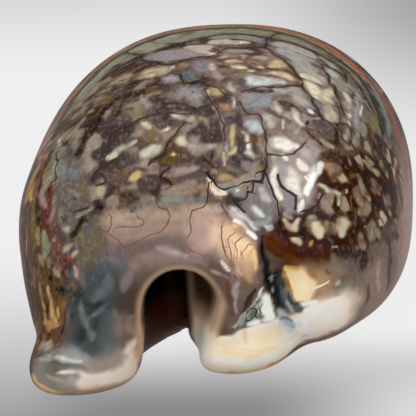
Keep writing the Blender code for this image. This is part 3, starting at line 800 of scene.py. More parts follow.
# ---- dark branching lines on the hump, a painted reflection of tree branches: width, points ----
CROWN_BRANCH_REFLECTIONS = [
    (0.4, (-7.4, -11.6), (-9.2, -13.6), (-10.2, -15.4), (-10.7, -18.2), (-11.6, -19.2), (-13, -20)),
    (0.32, (1, -19.3), (-0.8, -18.5), (-3, -18.4), (-4.8, -19), (-4.3, -19.8)),
    (0.38, (-4.3, -19.8), (-7, -20.2), (-9.4, -21.2), (-11, -22.2), (-12.6, -23.4), (-14, -26.8)),
    (0.3, (3.2, -18.9), (1, -19.4), (-0.6, -19.9), (-3.6, -20)),
    (0.35, (-4, -20.6), (-3.2, -20.3)),
    (0.42, (-0.4, -21), (-2, -22.6), (-3, -23.4), (-3.6, -24.4), (-5.6, -25.1)),
    (0.3, (-13, -22.6), (-13.7, -25.4)),
    (0.3, (-13, -25.4), (-11.2, -24.9)),
    (0.5, (-9.4, -2.6), (-7.6, -5), (-5.4, -7.6), (-3.4, -8.3), (-1.2, -7.4), (0.2, -6.7), (3, -6)),
    (0.45, (3, -6), (3.6, -4.2), (4.4, -2.6), (6.5, -2.4), (8.4, -1.4), (10.2, 0)),
    (0.25, (-3, -10.2), (-4.6, -12.2)),
    (0.35, (-2.2, -11.4), (-1, -14.8), (0.8, -14.2), (2.4, -15.5), (4.4, -15.8), (5.6, -17.4)),
    (0.32, (2.2, -16.2), (3.2, -18), (4.4, -19.8), (5.4, -21.6), (5.6, -23.6)),
    (0.6, (-13.4, 6.6), (-11.4, 3), (-10, 0.6)),
    (0.8, (-13.4, -1.8), (-10, -0.2), (-7, -0.6), (-5, 0.6), (-1, 1.6), (0.6, 3.2), (2, 4.6)),
    (0.45, (2, 4.6), (5, 5.4), (8.4, 5.4)),
    (0.45, (-10, -0.6), (-8.4, -4), (-6.6, -6.4)),
    (0.6, (10.2, 0), (10.2, 4), (10.7, 7), (12, 11)),
    (0.7, (10.2, 0), (11.8, -1.8), (12.8, -2.8), (14.2, -4.8), (15.8, -8), (16.6, -11)),
    (0.45, (16.6, -11), (17, -12.2), (18.2, -13.2), (18.6, -15), (19.6, -16.8), (20.3, -17.6)),
    (0.45, (10.8, 5.4), (14, 5.6), (17, 5.4), (20, 5.2), (22.5, 5), (24, 3)),
    (0.5, (18.2, 1.5), (19, 0), (20, -2), (20.6, -5.4)),
    (0.4, (21.6, 5), (22.6, 3), (22.8, -0.6)),
    (0.4, (21.2, -4.4), (21.8, -8), (22.9, -11), (23, -13.4)),
    (0.35, (21.9, -10.8), (22.4, -13), (22.6, -15.5), (22.4, -17.4)),
    (0.25, (18.2, -13.4), (19.6, -13.6), (20.6, -13)),
    (0.38, (16, -11.2), (15.6, -12), (14.4, -12.8), (13.4, -13.8), (11.4, -14.8), (9, -15.9), (7.6, -16.3)),
    (0.35, (7.4, -18.2), (8.2, -19.4), (9, -20.2), (10.4, -20.2),
     (11.2, -21.2), (11.8, -23), (12.1, -26.2)),
    (0.28, (12.2, -24.9), (14, -24.7), (15.8, -24.6), (16.9, -23.8), (17.8, -22.8)),
    (0.28, (22.8, -17.8), (23, -19), (23.8, -19.4), (24.2, -17.8),
     (24, -15.6), (23.2, -15.2), (22.9, -16.4)),
]
# ---- far side of the hump: panels, then olive, teal and rose bands along its rim, a painted reflection ----
FAR_PANELS_AND_RIM_REFLECTION = [
    ((136, 136, 114), 4.2, (-19, -3), (-16, 2), (-12.6, 4.6)),
    ((146, 144, 124), 4, (-10.4, 5.4), (-9, 2.6), (-7.6, 1.4)),
    ((140, 136, 112), 4, (-6, 5.6), (-3, 4.4), (0, 5.6)),
    ((140, 134, 112), 4.2, (0, 8.4), (6, 8.2), (10, 8)),
    ((142, 136, 134), 3, (3, 3.4), (6, 3.8), (9, 3.4)),
    ((176, 164, 144), 2.6, (2.4, 0.6), (5.6, 0.4), (7, 0.8)),
    ((146, 136, 136), 4.2, (-7, -3), (-4, -4.4), (-1, -4.6)),
    ((172, 160, 148), 2.6, (-1.4, -1.6), (0.8, -2.6), (1.2, -4.2)),
    ((206, 198, 186), 0.5, (6.3, 2.4), (6.8, -0.4)),
    ((192, 178, 158), 0.8, (0.9, -3.8), (2.4, -4.8)),
    ((150, 140, 132), 2.2, (4.4, -3.6), (7.8, -3.2)),
    ((160, 156, 152), 3.2, (12.4, 3), (16.6, 3.2)),
    ((160, 154, 150), 3.6, (13.6, -0.4), (17, -3.2)),
    ((170, 160, 148), 2.8, (16.4, -5.8), (19, -5)),
    ((144, 138, 118), 2.8, (13, 8.4), (18, 8.2)),
    ((164, 168, 158), 1.9, (20, -0.4), (21, -0.2)),
    ((152, 154, 148), 1.7, (19.8, 3.4), (21.4, 2.6)),
    ((140, 136, 128), 2, (22.2, -1.6), (22.4, -4)),
    ((146, 142, 136), 1.6, (24.6, -0.8), (25, -3.6)),
    # olive, teal and rose bands along the rim: painted reflection
    ((78, 72, 30), 2.2, (-22, -7), (-20.6, -2), (-18, 3), (-15, 6.6), (-11, 8.6), (-6, 9)),
    ((86, 78, 40), 1.9, (-6, 9), (-1, 10.2), (5, 11.4), (11, 11.4), (16, 10.6), (21, 8.8)),
    ((66, 60, 44), 1.9, (21, 8.8), (24.6, 7.2), (26.4, 4), (28, -1), (28.6, -5)),
    ((98, 98, 80), 0.7, (-21, -4), (-19, 1), (-16, 5), (-12, 7)),
    ((166, 166, 148), 0.6, (-19.8, -3.4), (-17.6, 0.8), (-14.4, 4.6)),
    ((52, 50, 32), 0.6, (-22.4, -5), (-20.4, 0.6), (-17.2, 5.4), (-13, 8.2), (-8, 9.2)),
    ((170, 168, 150), 0.6, (-12, 6.2), (-6, 7.2), (0, 8.2), (6, 9.2)),
    ((92, 90, 70), 0.6, (-8, 7.9), (-2, 8.8), (4, 10), (10, 10)),
    ((92, 90, 70), 0.6, (11, 9.6), (16, 9), (20, 7.4)),
    ((158, 132, 94), 1.4, (-2, 12), (5, 13.4), (11, 13.4), (16, 12.6), (21, 10.8), (25, 8.4)),
    ((114, 134, 130), 1.6, (26, 9), (27.8, 5.6), (29, 1.5), (29.5, -3)),
    ((160, 100, 80), 1.9, (-23.4, -4), (-21.8, 1), (-18.6, 6), (-14.6, 9.4), (-9, 11.2), (-3, 12.6)),
    ((178, 104, 78), 2.2, (-3, 13.6), (4, 15.4), (11, 15.4), (17, 14.4), (22, 12.4), (26.6, 9.6)),
    ((148, 92, 76), 2.6, (26.6, 9.8), (29.6, 6), (31.4, 0), (32, -6)),
]


def paint_hump(b):
    # cloudy lilac-brown top, paler to the right: brown under a painted lilac haze of reflected sky, with a
    # paler painted sheen towards the right
    b.crown(LILAC_BROWN, 13, (-8, -22), (-2, -18), (4, -22), edge=0.35)
    b.crown(LILAC_BROWN, 9, (-7, -15), (2, -13), (4, -9), edge=0.4)
    b.crown(DUSK, 7, (-10, -25), (-4, -25.5), amount=0.7, edge=0.5)
    b.crown((126, 110, 108), 7, (-4, -5), (4, -4), edge=0.4)
    b.crown((150, 130, 118), 9, (6, -8), (12, -9), (14, -6), edge=0.4)
    b.crown((152, 142, 140), 9, (9, -15), (14, -15), (16, -20), edge=0.4)
    b.crown((164, 152, 150), 6, (12, -20), (16, -21), edge=0.4)
    b.crown((166, 160, 150), 9, (14, 0), (20, -4), (22, -12), edge=0.35)
    b.crown((122, 106, 100), 3.4, (6, -13), (5.6, -17), (8, -22), edge=0.5)
    # brown shoulder at the left
    b.crown(DARK_BROWN, (3.6, 2.6), (-12, -3.6), (-14.6, -6.2), (-15, -10), (-15.6, -14), (-16.2, -17))
    b.crown((52, 36, 24), 2.6, (-12.4, -15.6), (-15, -16), (-17, -19), (-17.4, -22.4))
    b.crown(DARK_BROWN, 2.2, (-11.4, -10.4), (-13.6, -12))
    b.crown((144, 128, 88), 2.8, (-12.6, -7.8), (-10.8, -8.6))
    b.crown((112, 92, 96), 1.8, (-12.6, -12.4), (-11.4, -12.8))
    b.crown((112, 82, 24), 2.2, (-13.6, -14.2), (-12.6, -15), edge=0.6)
    b.crown((150, 132, 94), 0.9, (-13.4, -14.6))
    b.crown((150, 112, 92), 1, (-10.6, -11), (-10.2, -12.2))
    b.crown((128, 118, 122), 2, (-12.2, -16.8), (-11.4, -16.8))
    b.crown((152, 154, 142), 1.5, (-13.4, -18), (-12.2, -18))
    b.crown((118, 112, 114), 2.2, (-14.6, -19.6), (-13.6, -21.6), (-15, -23.4))
    b.crown((100, 98, 108), 1.8, (-15, -24), (-16.4, -24.4))
    # grey and olive streaks that run round the left shoulder; the olive and rose stripes at its outer edge
    # are painted reflection, the palest streak a painted highlight
    spray(b.crown, LEFT_SHOULDER)


def paint_crown_marks(b):
    # pale blots, each in a warm tan glow with a dark edge
    for colour, width, *route in CROWN_BLOTS:
        b.crown(BLOT_GLOW, broader(width, more=1.2), *route, amount=0.22, edge=0.8)
        b.crown(BLOT_EDGE, broader(width, more=0.6), *route, amount=0.3)
        b.crown(colour, broader(width, times=1.2), *route, amount=0.84, edge=0.6)
    spray(b.crown, CROWN_DARKS)
    # dark branching lines, a painted reflection of tree branches, in a soft brown glow
    for width, *route in CROWN_BRANCH_REFLECTIONS:
        b.crown(BRANCH_REFLECTION_GLOW, 2.6 * width, *route, amount=0.45, edge=0.9)
        b.crown(BRANCH_REFLECTION_DARK, min(width, 0.41), *route, amount=0.85)


def paint_far_crown(b):
    # panels of the far side of the hump, ending in olive and rose bands along its rim, a painted reflection
    spray(b.crown, FAR_PANELS_AND_RIM_REFLECTION, edge=0.25)


# ---- streaked left side, seen from the front: colour, width, points (x, z) ----
LEFT_STREAKS = [
    ((102, 62, 50), 3, (-26.8, 25), (-27.2, 20), (-26.9, 14.6), (-25.6, 11.4)),
    ((80, 40, 30), 0.7, (-26.4, 23.6), (-26.5, 18)),
    ((70, 34, 26), 0.8, (-25.9, 18), (-25.8, 14.6), (-25, 12)),
    ((112, 80, 68), 1, (-25.5, 23), (-25.2, 18), (-25, 15.4)),
    ((124, 84, 66), 0.5, (-27.3, 22), (-27.3, 17)),
    ((160, 128, 82), (1.6, 2.4), (-24.4, 30), (-25.4, 27.8), (-26.2, 25.6)),
    ((142, 106, 68), 0.6, (-25.3, 29.4), (-26.6, 26.8)),
    ((84, 66, 26), 1.3, (-21.8, 32.6), (-22.9, 31), (-23.4, 29.4)),
    ((70, 56, 38), 1.1, (-23.2, 29.4), (-23.7, 27.4), (-23.8, 25.4)),
    ((126, 98, 50), 1.2, (-24.5, 26.2), (-24.4, 23.4), (-24.1, 20.6)),
    ((60, 36, 14), 0.8, (-23.4, 25), (-23, 24.2)),
    ((150, 132, 90), 1, (-23.3, 23.8), (-23.3, 21.6)),
    ((154, 124, 116), (0.9, 1.5), (-22.3, 29.6), (-22.7, 28), (-22.5, 26.8)),
    ((136, 112, 102), 1.1, (-20.4, 27.9), (-20.6, 26.4), (-21.4, 25.2)),
    ((110, 34, 38), (0.7, 0.9), (-21.4, 29.4), (-21.1, 28.2), (-21.6, 27)),
    ((120, 48, 54), (1, 1.5), (-21.7, 26.8), (-22.2, 25.3)),
    ((114, 46, 50), 1, (-21.5, 24.5), (-20.9, 23.6)),
    ((92, 60, 56), 1.3, (-20, 24.8), (-19.4, 22.8)),
    ((136, 138, 120), (0.9, 2), (-22.3, 23.8), (-22, 21.8), (-22.2, 20.2)),
    ((126, 126, 106), 0.9, (-21.2, 20.4), (-21.3, 18.8)),
    ((162, 120, 112), 0.7, (-20.5, 23), (-20.7, 22.4)),
    ((136, 58, 68), 1.1, (-20.1, 22), (-20.4, 20.9)),
    ((152, 146, 126), (0.9, 1.2), (-17.7, 22.9), (-19, 21.5)),
    ((166, 146, 128), 0.9, (-16.6, 21.6), (-17.4, 21)),
    ((100, 24, 16), 0.6, (-18.2, 21.1), (-17.4, 20.2)),
    ((90, 10, 18), 0.9, (-20, 20.7), (-19.7, 20)),
    ((150, 70, 40), 0.5, (-18.7, 20.7), (-17.6, 20.2)),
    ((84, 2, 28), (1.5, 1.1), (-18.6, 20), (-18.4, 19)),
    ((146, 96, 90), 0.9, (-19.8, 19.6), (-19.4, 18.8)),
    ((96, 40, 30), 0.6, (-19, 18.6), (-19.1, 17.6)),
    ((150, 146, 124), (1.2, 0.9), (-20.3, 18.5), (-19.9, 17.5)),
    ((92, 92, 96), 0.7, (-18, 18.6), (-18.1, 17.4)),
    ((168, 150, 134), 0.7, (-17.4, 19.4), (-17.3, 17.6)),
    ((158, 106, 104), 0.6, (-16.7, 19.8), (-16.9, 17.4)),
    ((140, 122, 116), 0.8, (-16.2, 18.4), (-16.4, 16.4)),
    ((160, 132, 104), 1.3, (-23.2, 19.8), (-22.7, 18.9)),
    ((126, 86, 32), 1.3, (-23.5, 18), (-23.5, 16)),
    ((134, 106, 84), 0.8, (-24.4, 17.6), (-24.5, 14.6)),
    ((30, 18, 16), 0.8, (-21.7, 17.6), (-21.3, 17.1)),
    ((40, 22, 14), 1.2, (-20.4, 15.5), (-19.2, 15.4)),
    ((134, 92, 40), 1.3, (-19.6, 14), (-18.9, 13.4)),
    ((120, 78, 28), 1.2, (-20, 14.2), (-20.4, 12)),
    ((156, 116, 74), 0.9, (-17.7, 16.6), (-17.3, 15.8)),
    ((84, 10, 32), (0.6, 0.8), (-17.6, 14.2), (-17.5, 12.8)),
    ((180, 152, 108), (0.6, 1), (-21.9, 16.8), (-21.8, 14.6), (-21.5, 12.8), (-20.9, 11.4)),
    ((164, 134, 90), 0.7, (-23.3, 15.6), (-23, 13.2), (-22.2, 11.2)),
    ((172, 142, 98), 0.5, (-20.7, 13.6), (-20.3, 12)),
    ((166, 132, 92), 1.1, (-22.4, 11), (-20.8, 10.9)),
    ((74, 36, 12), 0.6, (-22.6, 13.6), (-22, 12)),
    ((98, 52, 22), 0.9, (-24.4, 13.8), (-23.8, 12.2), (-22.8, 10.9)),
    ((104, 70, 50), 1.6, (-23.2, 10), (-22.4, 9.2)),
    ((124, 102, 64), 0.9, (-18.7, 13), (-18.6, 11)),
    ((60, 28, 24), (0.5, 0.7), (-18.2, 14.8), (-19, 12.8), (-19.5, 11), (-19.7, 10.2)),
    ((46, 20, 4), (1.5, 0.9), (-17.8, 24.3), (-16.6, 25.1), (-14.8, 26.2)),
    ((58, 34, 30), 1, (-14.8, 25.6), (-14.3, 25.9)),
    ((42, 32, 18), 0.7, (-18.7, 26.3), (-18.2, 25.9)),
    ((66, 38, 8), 0.8, (-18.2, 28.4), (-17.3, 28.6)),
    ((62, 42, 18), 0.4, (-17.4, 26.7), (-15.8, 27.4), (-14.6, 27.8)),
    ((58, 44, 24), 0.5, (-19, 27.8), (-18.2, 27), (-17, 26.7)),
    ((136, 140, 120), (0.6, 0.9), (-16.9, 26.1), (-15.6, 26.8), (-14.6, 27.3)),
    ((142, 140, 116), 0.5, (-16.8, 27.5), (-15.2, 28.6)),
    ((114, 110, 90), 1, (-19.4, 27), (-19.2, 25.9)),
    ((152, 148, 118), 0.6, (-18.8, 24.8), (-18.2, 25.2)),
    ((82, 44, 8), 0.6, (-17.1, 23.2), (-16.8, 23.5)),
    ((92, 88, 100), 0.9, (-16.8, 22.7), (-16.1, 21.8)),
    ((88, 88, 102), 0.7, (-15.5, 24.4), (-14.3, 25)),
    ((122, 124, 116), 2.2, (-19.8, 32.4), (-19, 31)),
    ((110, 114, 124), 1.8, (-18, 32), (-17, 31.4)),
    ((138, 140, 124), 1.2, (-20.8, 32.2), (-20.7, 31), (-21.5, 30.3)),
    ((114, 100, 74), 1.7, (-16.6, 30.4), (-15.4, 29.6)),
    ((132, 122, 104), 0.9, (-18.4, 29.6), (-16.8, 29)),
    ((172, 170, 138), 1.1, (-13.3, 29.4), (-12.6, 29.8)),
    ((86, 48, 16), 0.6, (-13.6, 31.4), (-12.9, 31.5)),
]
# dark branching lines on the left, a painted reflection of tree branches: width, points (x, z)
LEFT_BRANCH_REFLECTIONS = [
    (0.34, (-20.2, 33.4), (-20.8, 33), (-20.3, 32.4), (-20.6, 31.6),
     (-20.2, 31), (-20.4, 30.4), (-21.6, 29.8)),
    (0.34, (-13.2, 32.8), (-14, 32), (-14.2, 31.3), (-13.4, 31.7),
     (-12.8, 31.2), (-12.6, 30.6), (-13.9, 30)),
    (0.28, (-14, 31.9), (-12.9, 32.9), (-11.8, 35.1)),
    (0.3, (-13, 32.4), (-10.6, 33.5)),
    (0.3, (-19.2, 26.4), (-18.8, 25.4)),
]


def paint_left_side(b):
    # grey top, brown middle and olive inner edge under the streaks
    b.front((104, 96, 88), 6, (-18.6, 32), (-17.6, 29.6), (-18, 26.6), edge=0.35)
    b.front((102, 72, 46), 7, (-22.8, 24), (-23, 18), (-22.4, 13), edge=0.3)
    b.front((112, 100, 82), 5, (-14.6, 24), (-14.8, 20.4), edge=0.4)
    spray(b.front, LEFT_STREAKS, amount=0.92)
    # dark branching lines, a painted reflection of tree branches
    for width, *route in LEFT_BRANCH_REFLECTIONS:
        b.front(BRANCH_REFLECTION_DARK, width, *route, amount=0.85, edge=0.4)


# ---- chestnut net, and pale panels of painted reflection on the right, seen from the front ----
RIGHT_GROUND = [
    ((52, 12, 2), 1.6, (13.2, 24.4), (14.4, 23.4)),
    ((48, 14, 8), 1.5, (16.6, 24.4), (17, 23)),
    ((116, 64, 12), 1.1, (14.4, 20), (15.8, 19.4)),
    ((50, 14, 4), 1.5, (17.2, 25.2), (17, 22.8)),
    ((44, 18, 6), 1.6, (21.2, 24), (21.4, 21.4)),
    ((104, 58, 8), 1, (12.3, 22.4), (13.6, 20.8)),
    ((94, 50, 8), 0.9, (15, 22), (15.8, 20.8)),
    ((98, 54, 10), 1, (17.8, 22.8), (18.6, 20.6)),
    ((130, 84, 12), 0.7, (20.4, 24.6), (20.7, 23.4)),
    ((96, 68, 28), 0.8, (24.5, 24.6), (24.6, 22.6)),
    ((70, 26, 8), 1.4, (16.2, 20.4), (19, 20.2)),
    ((60, 40, 26), 2.4, (22.6, 20), (25.4, 18.6), (25.6, 16.6)),
    ((84, 62, 46), 2.6, (28.6, 19.6), (30.6, 17.4)),
    ((128, 112, 96), 1.3, (21.6, 19.6), (22.3, 17.2), (23.6, 15.6)),
    ((106, 96, 92), 1, (24, 18.4), (23.6, 16)),
    ((112, 84, 62), 0.9, (26.6, 19.2), (27, 16)),
    ((150, 138, 134), 1.2, (28, 16.4), (27.9, 14.4)),
    ((84, 50, 40), 1.2, (29.6, 18), (29.4, 13)),
    ((146, 106, 90), 1, (31.2, 20), (31, 14)),
]
RIGHT_CELLS = [
    ((178, 170, 148), 2.2, (18.7, 25.2), (18.9, 24)),
    ((182, 174, 148), (2.2, 1.5), (19.1, 24.2), (19.9, 22.5)),
    ((122, 106, 92), 2.1, (22.9, 25), (22.9, 24.4)),
    ((172, 164, 140), (2.1, 1.6), (22.9, 24), (23, 22.8)),
    ((150, 134, 108), 1.6, (25.2, 27), (25.8, 25.4)),
    ((144, 128, 120), 1.7, (20, 27.5), (21.3, 25.9)),
    ((180, 174, 150), 0.7, (20, 29.2), (20.9, 28.2), (22, 27.9), (22.7, 27.5), (22.8, 26.5)),
    ((146, 122, 98), 2.7, (20.9, 31.4), (22.4, 30)),
    ((168, 152, 120), 1.5, (22.4, 29.7), (23.3, 29.3)),
    ((152, 136, 116), (1, 1.7), (25.3, 28.6), (26, 26.8), (26.8, 25.5)),
    ((172, 158, 134), 0.8, (26.4, 26.2), (26.9, 25.3)),
    ((152, 146, 120), (1.3, 1.5), (26.3, 29.6), (27.4, 28.2), (28.3, 26.9)),
    ((128, 116, 110), 1.6, (29, 24.3), (29.7, 21.8)),
    ((158, 146, 128), 0.9, (29.6, 22.4), (29.8, 21.6)),
    ((136, 124, 108), (0.8, 1.5), (27.3, 21.8), (28, 19.8)),
    ((168, 158, 140), 0.6, (27.6, 23.6), (27.9, 22.8)),
    ((128, 116, 100), 1.2, (25.6, 21.4), (25.9, 19.4)),
    ((174, 164, 142), 0.8, (14.5, 24.9), (15.1, 24.3), (16.2, 24.2), (16.6, 25.2)),
    ((184, 176, 150), (0.9, 1.2), (15.5, 22.7), (16.2, 22.1)),
    ((170, 142, 92), 0.5, (18.3, 21.4), (18.6, 21.7)),
    ((176, 160, 136), 0.6, (25.3, 24.5), (25.5, 24.2)),
    ((164, 152, 136), 0.7, (25.8, 23.3), (26, 22.9)),
    ((172, 150, 120), 0.4, (26.3, 22.4), (26.3, 21.8)),
    ((168, 148, 128), 0.5, (28.1, 25.5), (28.3, 25.2)),
    ((176, 152, 132), 0.35, (23.5, 28.1), (23.5, 27.5)),
    ((152, 132, 112), 0.35, (21, 21), (22.2, 21.1)),
    ((190, 158, 136), (0.6, 1), (30.3, 26), (31, 23.6)),
    ((150, 120, 104), 0.8, (30.4, 20.6), (30.7, 19)),
    ((140, 110, 92), 0.6, (31.4, 22.6), (31.6, 20.6)),
    ((160, 158, 136), 1.1, (18.5, 33.6), (19.3, 33.2)),
    ((154, 140, 126), 0.8, (19.9, 34.4), (21.8, 33.2)),
    ((150, 134, 110), 0.7, (24, 31.2), (24.4, 30.4)),
]
RIGHT_VEINS = [
    ((60, 26, 8), 0.8, (25.6, 29.8), (26.4, 28), (27.4, 26.4)),
    ((60, 26, 8), 0.7, (22, 27), (22.1, 26.2)),
    ((48, 22, 10), 0.5, (28.4, 24.6), (28.2, 22.4), (28.9, 20.6)),
    ((48, 22, 10), 0.5, (26.6, 23.6), (26.8, 21.4), (26.6, 19.8)),
    ((92, 62, 46), 0.8, (18.9, 33), (20.4, 32.9), (22, 31.9), (23.6, 30.4)),
    ((110, 70, 24), 0.3, (24.2, 27), (24.3, 25)),
    ((120, 78, 30), 0.3, (24.9, 25.4), (25, 23.6)),
]
# pale panels of painted reflection in the sheen, and a painted highlight streak: colour, width, points (x, z)
SHEEN_REFLECTION_MARKS = [
    ((214, 208, 200), 1.3, (13.5, 34.5), (16.2, 34.4)),
    ((208, 198, 186), 1.1, (12.8, 33), (12.8, 31), (13.2, 29), (13.8, 27.9)),
    ((222, 208, 188), 0.6, (14, 33.3), (15, 32.9)),
    ((186, 180, 172), 2.3, (15.4, 31.4), (16, 29.8), (16.5, 28.4)),
    ((206, 198, 188), 1.2, (15.5, 30.3), (16.6, 29.1)),
    ((134, 128, 130), 1.5, (14.7, 28.1), (15.3, 26.5)),
    ((150, 140, 140), 1.3, (14.1, 32.1), (14.6, 31.1)),
    ((208, 194, 184), 0.9, (16.8, 32.4), (17.9, 31.1)),
    ((208, 200, 192), 1, (16.9, 27.2), (16.9, 26.4)),
    ((168, 150, 150), 1.3, (17, 33.8), (17.9, 32.9)),
    # painted highlight: the white streak down the shoulder
    ((246, 246, 240), (0.8, 1.3), (19.8, 32), (19.4, 30.7), (18.6, 29.4), (17.9, 28.3)),
    ((178, 184, 174), (1.3, 0.8), (10.3, 26.9), (11.3, 26.2)),
    ((170, 156, 154), 1.1, (10.6, 28.8), (12, 28)),
    ((132, 138, 134), 1.2, (9.6, 25.2), (12.4, 25.3)),
    ((138, 132, 128), 0.9, (14.5, 25.8), (15.6, 25.5)),
    ((160, 166, 166), 0.7, (11.6, 24.5), (12.6, 24)),
    ((220, 206, 196), 0.35, (17.2, 30.8), (17.9, 29.8)),
]
# dark branching lines on the right, a painted reflection of tree branches: width, points (x, z)
RIGHT_BRANCH_REFLECTIONS = [
    (0.34, (6.4, 29.5), (7.6, 29.6), (8.6, 30.2), (10.1, 30.3), (11.4, 29.9), (11.9, 31.2), (11.9, 33.2)),
    (0.26, (10.2, 31.2), (11.8, 31.2)),
    (0.3, (12.1, 31), (12.7, 29), (13.2, 27.4), (13.7, 26.4), (13.8, 25.2)),
    (0.45, (13.7, 30.9), (14, 29.7), (14.8, 28.8), (16.2, 28), (16.2, 26.3)),
    (0.28, (12.1, 33.3), (13.7, 33.5), (15.6, 33.4), (17, 34)),
    (0.4, (16.6, 25.9), (18, 26.4), (19.2, 27), (20, 28.6)),
    (0.26, (6.7, 28), (7.6, 27.7), (8.9, 27.9), (9.1, 29.1), (9.8, 28.9), (10.1, 30.2)),
]


def paint_right_net(b):
    # dark brown ground of the net, redder at its foot
    b.front(NET_BROWN, 9, (18, 23.6), (24, 24.6), (27, 24), edge=0.3)
    b.front(NET_BROWN, 5, (22, 31), (25, 29.4), (28.4, 27), edge=0.3)
    b.front(NET_BROWN, 4.4, (29.4, 25.6), (30.4, 22), edge=0.4)
    b.front(RUST, 4.6, (14, 22.4), (17, 21.6), (20, 21.4), edge=0.25)
    b.front(RUST, 2.6, (12.9, 22.6), (13.6, 21), edge=0.3)
    spray(b.front, RIGHT_GROUND, amount=0.9)
    # each cell in an amber glow with a dark ring
    for colour, width, *route in RIGHT_CELLS:
        glow = broader(width, more=0.5)
        b.front(CELL_RING, broader(glow, more=0.8), *route, amount=0.6)
        b.front(CELL_GLOW, glow, *route, amount=0.55, edge=0.4)
        b.front(colour, width, *route, amount=0.95, edge=0.36)
    spray(b.front, RIGHT_VEINS, amount=0.9)


def paint_sheen(b):
    # pale panels between the lilac top and the net: painted reflection of the sky, with a painted highlight
    # streak
    b.front((146, 138, 132), 5.4, (14.4, 33.6), (15, 30.6), (15.4, 28.6), edge=0.4)
    b.front((148, 136, 132), 3.4, (17.8, 33.4), (18, 30.6), (17.6, 28.4), edge=0.4)
    b.front((126, 120, 120), 4.2, (11.4, 28.6), (10.6, 27.2), (11.6, 26.4), edge=0.4)
    spray(b.front, SHEEN_REFLECTION_MARKS)
    # dark branching lines, a painted reflection of tree branches
    for width, *route in RIGHT_BRANCH_REFLECTIONS:
        b.front(BRANCH_REFLECTION_DARK, width, *route, amount=0.95)


# ---- rear face, seen from the front: band, callus, nose, folds, lobe and leg ----
BAND_MARKS = [
    ((178, 154, 108), (1.5, 1), (-8.4, 31), (-6.9, 31.2)),
    ((128, 106, 98), 1.1, (-7, 31.2), (-4.2, 32.4)),
    ((146, 130, 122), 1.1, (-3.2, 31.4), (-0.8, 31.8), (1.6, 32.2)),
    ((168, 166, 146), 0.9, (-12.8, 33.4), (-11, 33.9)),
    ((100, 76, 40), 1.5, (-3.4, 33.2), (-2.4, 33.2)),
    ((120, 92, 64), 0.9, (-11.4, 31), (-9.4, 32.2)),
    ((150, 148, 118), 1.1, (-13.4, 29.4), (-12.4, 29.8)),
    ((188, 154, 106), 0.5, (-7.6, 29.8), (-6.4, 28.8)),
    ((140, 120, 104), 0.9, (-6.8, 28.4), (-5, 28.6)),
    ((130, 132, 122), 1.3, (-3.5, 28.4), (-1, 28.2)),
    ((140, 124, 108), 1.2, (-1.4, 29.6), (0.8, 30.2)),
    ((128, 104, 88), 0.7, (1, 29.4), (2, 29.3)),
    ((206, 192, 174), 0.9, (3, 30.6), (3.6, 29.4), (4.2, 28.9), (5.8, 28.5)),
    ((130, 124, 138), 0.5, (4.3, 29.9), (5, 29.1)),
    ((130, 134, 134), 1.2, (6.2, 29.2), (7.6, 28.6)),
    ((182, 184, 182), 0.5, (7, 29.1), (7.5, 28.9)),
    ((160, 136, 102), 1.1, (4.8, 31), (6.8, 30.6)),
    ((160, 128, 104), 0.8, (3.6, 32.8), (4, 31.8)),
    ((186, 166, 132), 0.45, (5.6, 33.9), (5.8, 32.2)),
    ((130, 118, 116), 1, (8.2, 32.6), (9.4, 31.8)),
    ((62, 50, 56), 0.9, (-12.2, 28.6), (-11.2, 29.4), (-10, 29)),
    ((42, 24, 14), 0.8, (-13.6, 27.4), (-12.6, 27.6)),
    ((36, 24, 22), 0.6, (-10.3, 27.2), (-9.6, 27.8)),
    ((62, 50, 62), 0.7, (-8.8, 26.9), (-8.2, 27.3)),
    ((80, 48, 44), 0.9, (4.8, 32.6), (4.7, 31.4)),
    ((84, 56, 48), 0.8, (3.2, 33), (4.2, 32)),
    ((70, 57, 60), 1.3, (6.8, 33.2), (7.8, 32.6)),
    # dark branching lines, a painted reflection of tree branches
    (BRANCH_REFLECTION_DARK, 0.4, (-6, 32.5), (-4.8, 33.3), (-3.4, 34.1), (-2.7, 35.3)),
    (BRANCH_REFLECTION_DARK, 0.34, (-2.9, 32.2), (-4.3, 31.1), (-3.3, 30.9), (-2.6, 30.3), (-2, 29.7)),
    (BRANCH_REFLECTION_DARK, 0.34, (2.9, 31.6), (4.1, 30.4), (5.5, 29.1), (6.4, 29.5)),
    (BRANCH_REFLECTION_DARK, 0.3, (3.1, 30.5), (3.1, 28.7), (2.7, 27.6)),
]
CALLUS_LINES = [
    ((104, 76, 58), 0.26, (-2, 29.7), (-4, 29.1), (-5.1, 28.2), (-4.4, 27.3), (-2.9, 26.6), (-2.4, 25.7)),
    ((116, 82, 60), 0.24, (-2.4, 25.7), (-3.3, 24.4), (-4.4, 23.6),
     (-6.5, 23.3), (-8.1, 22.8), (-9.6, 21.9)),
    ((116, 82, 60), 0.2, (-9.6, 21.9), (-11.9, 23.9)),
    ((96, 66, 52), 0.24, (2.7, 27.6), (1.2, 27.1), (0.3, 26.5), (0, 25.2), (0.3, 23.8), (-0.4, 23.1)),
    ((134, 92, 66), 0.22, (-0.4, 23.1), (0, 22.1), (1.3, 21.2), (2.4, 20.4)),
    ((98, 88, 80), 0.2, (-8, 26.2), (-6.9, 25.4), (-6.8, 24.8), (-9.7, 24.9), (-11.3, 24.6)),
    ((104, 78, 56), 0.2, (-14, 24.6), (-12, 24.1), (-11.7, 25.2), (-11.4, 26.4), (-12, 27)),
]
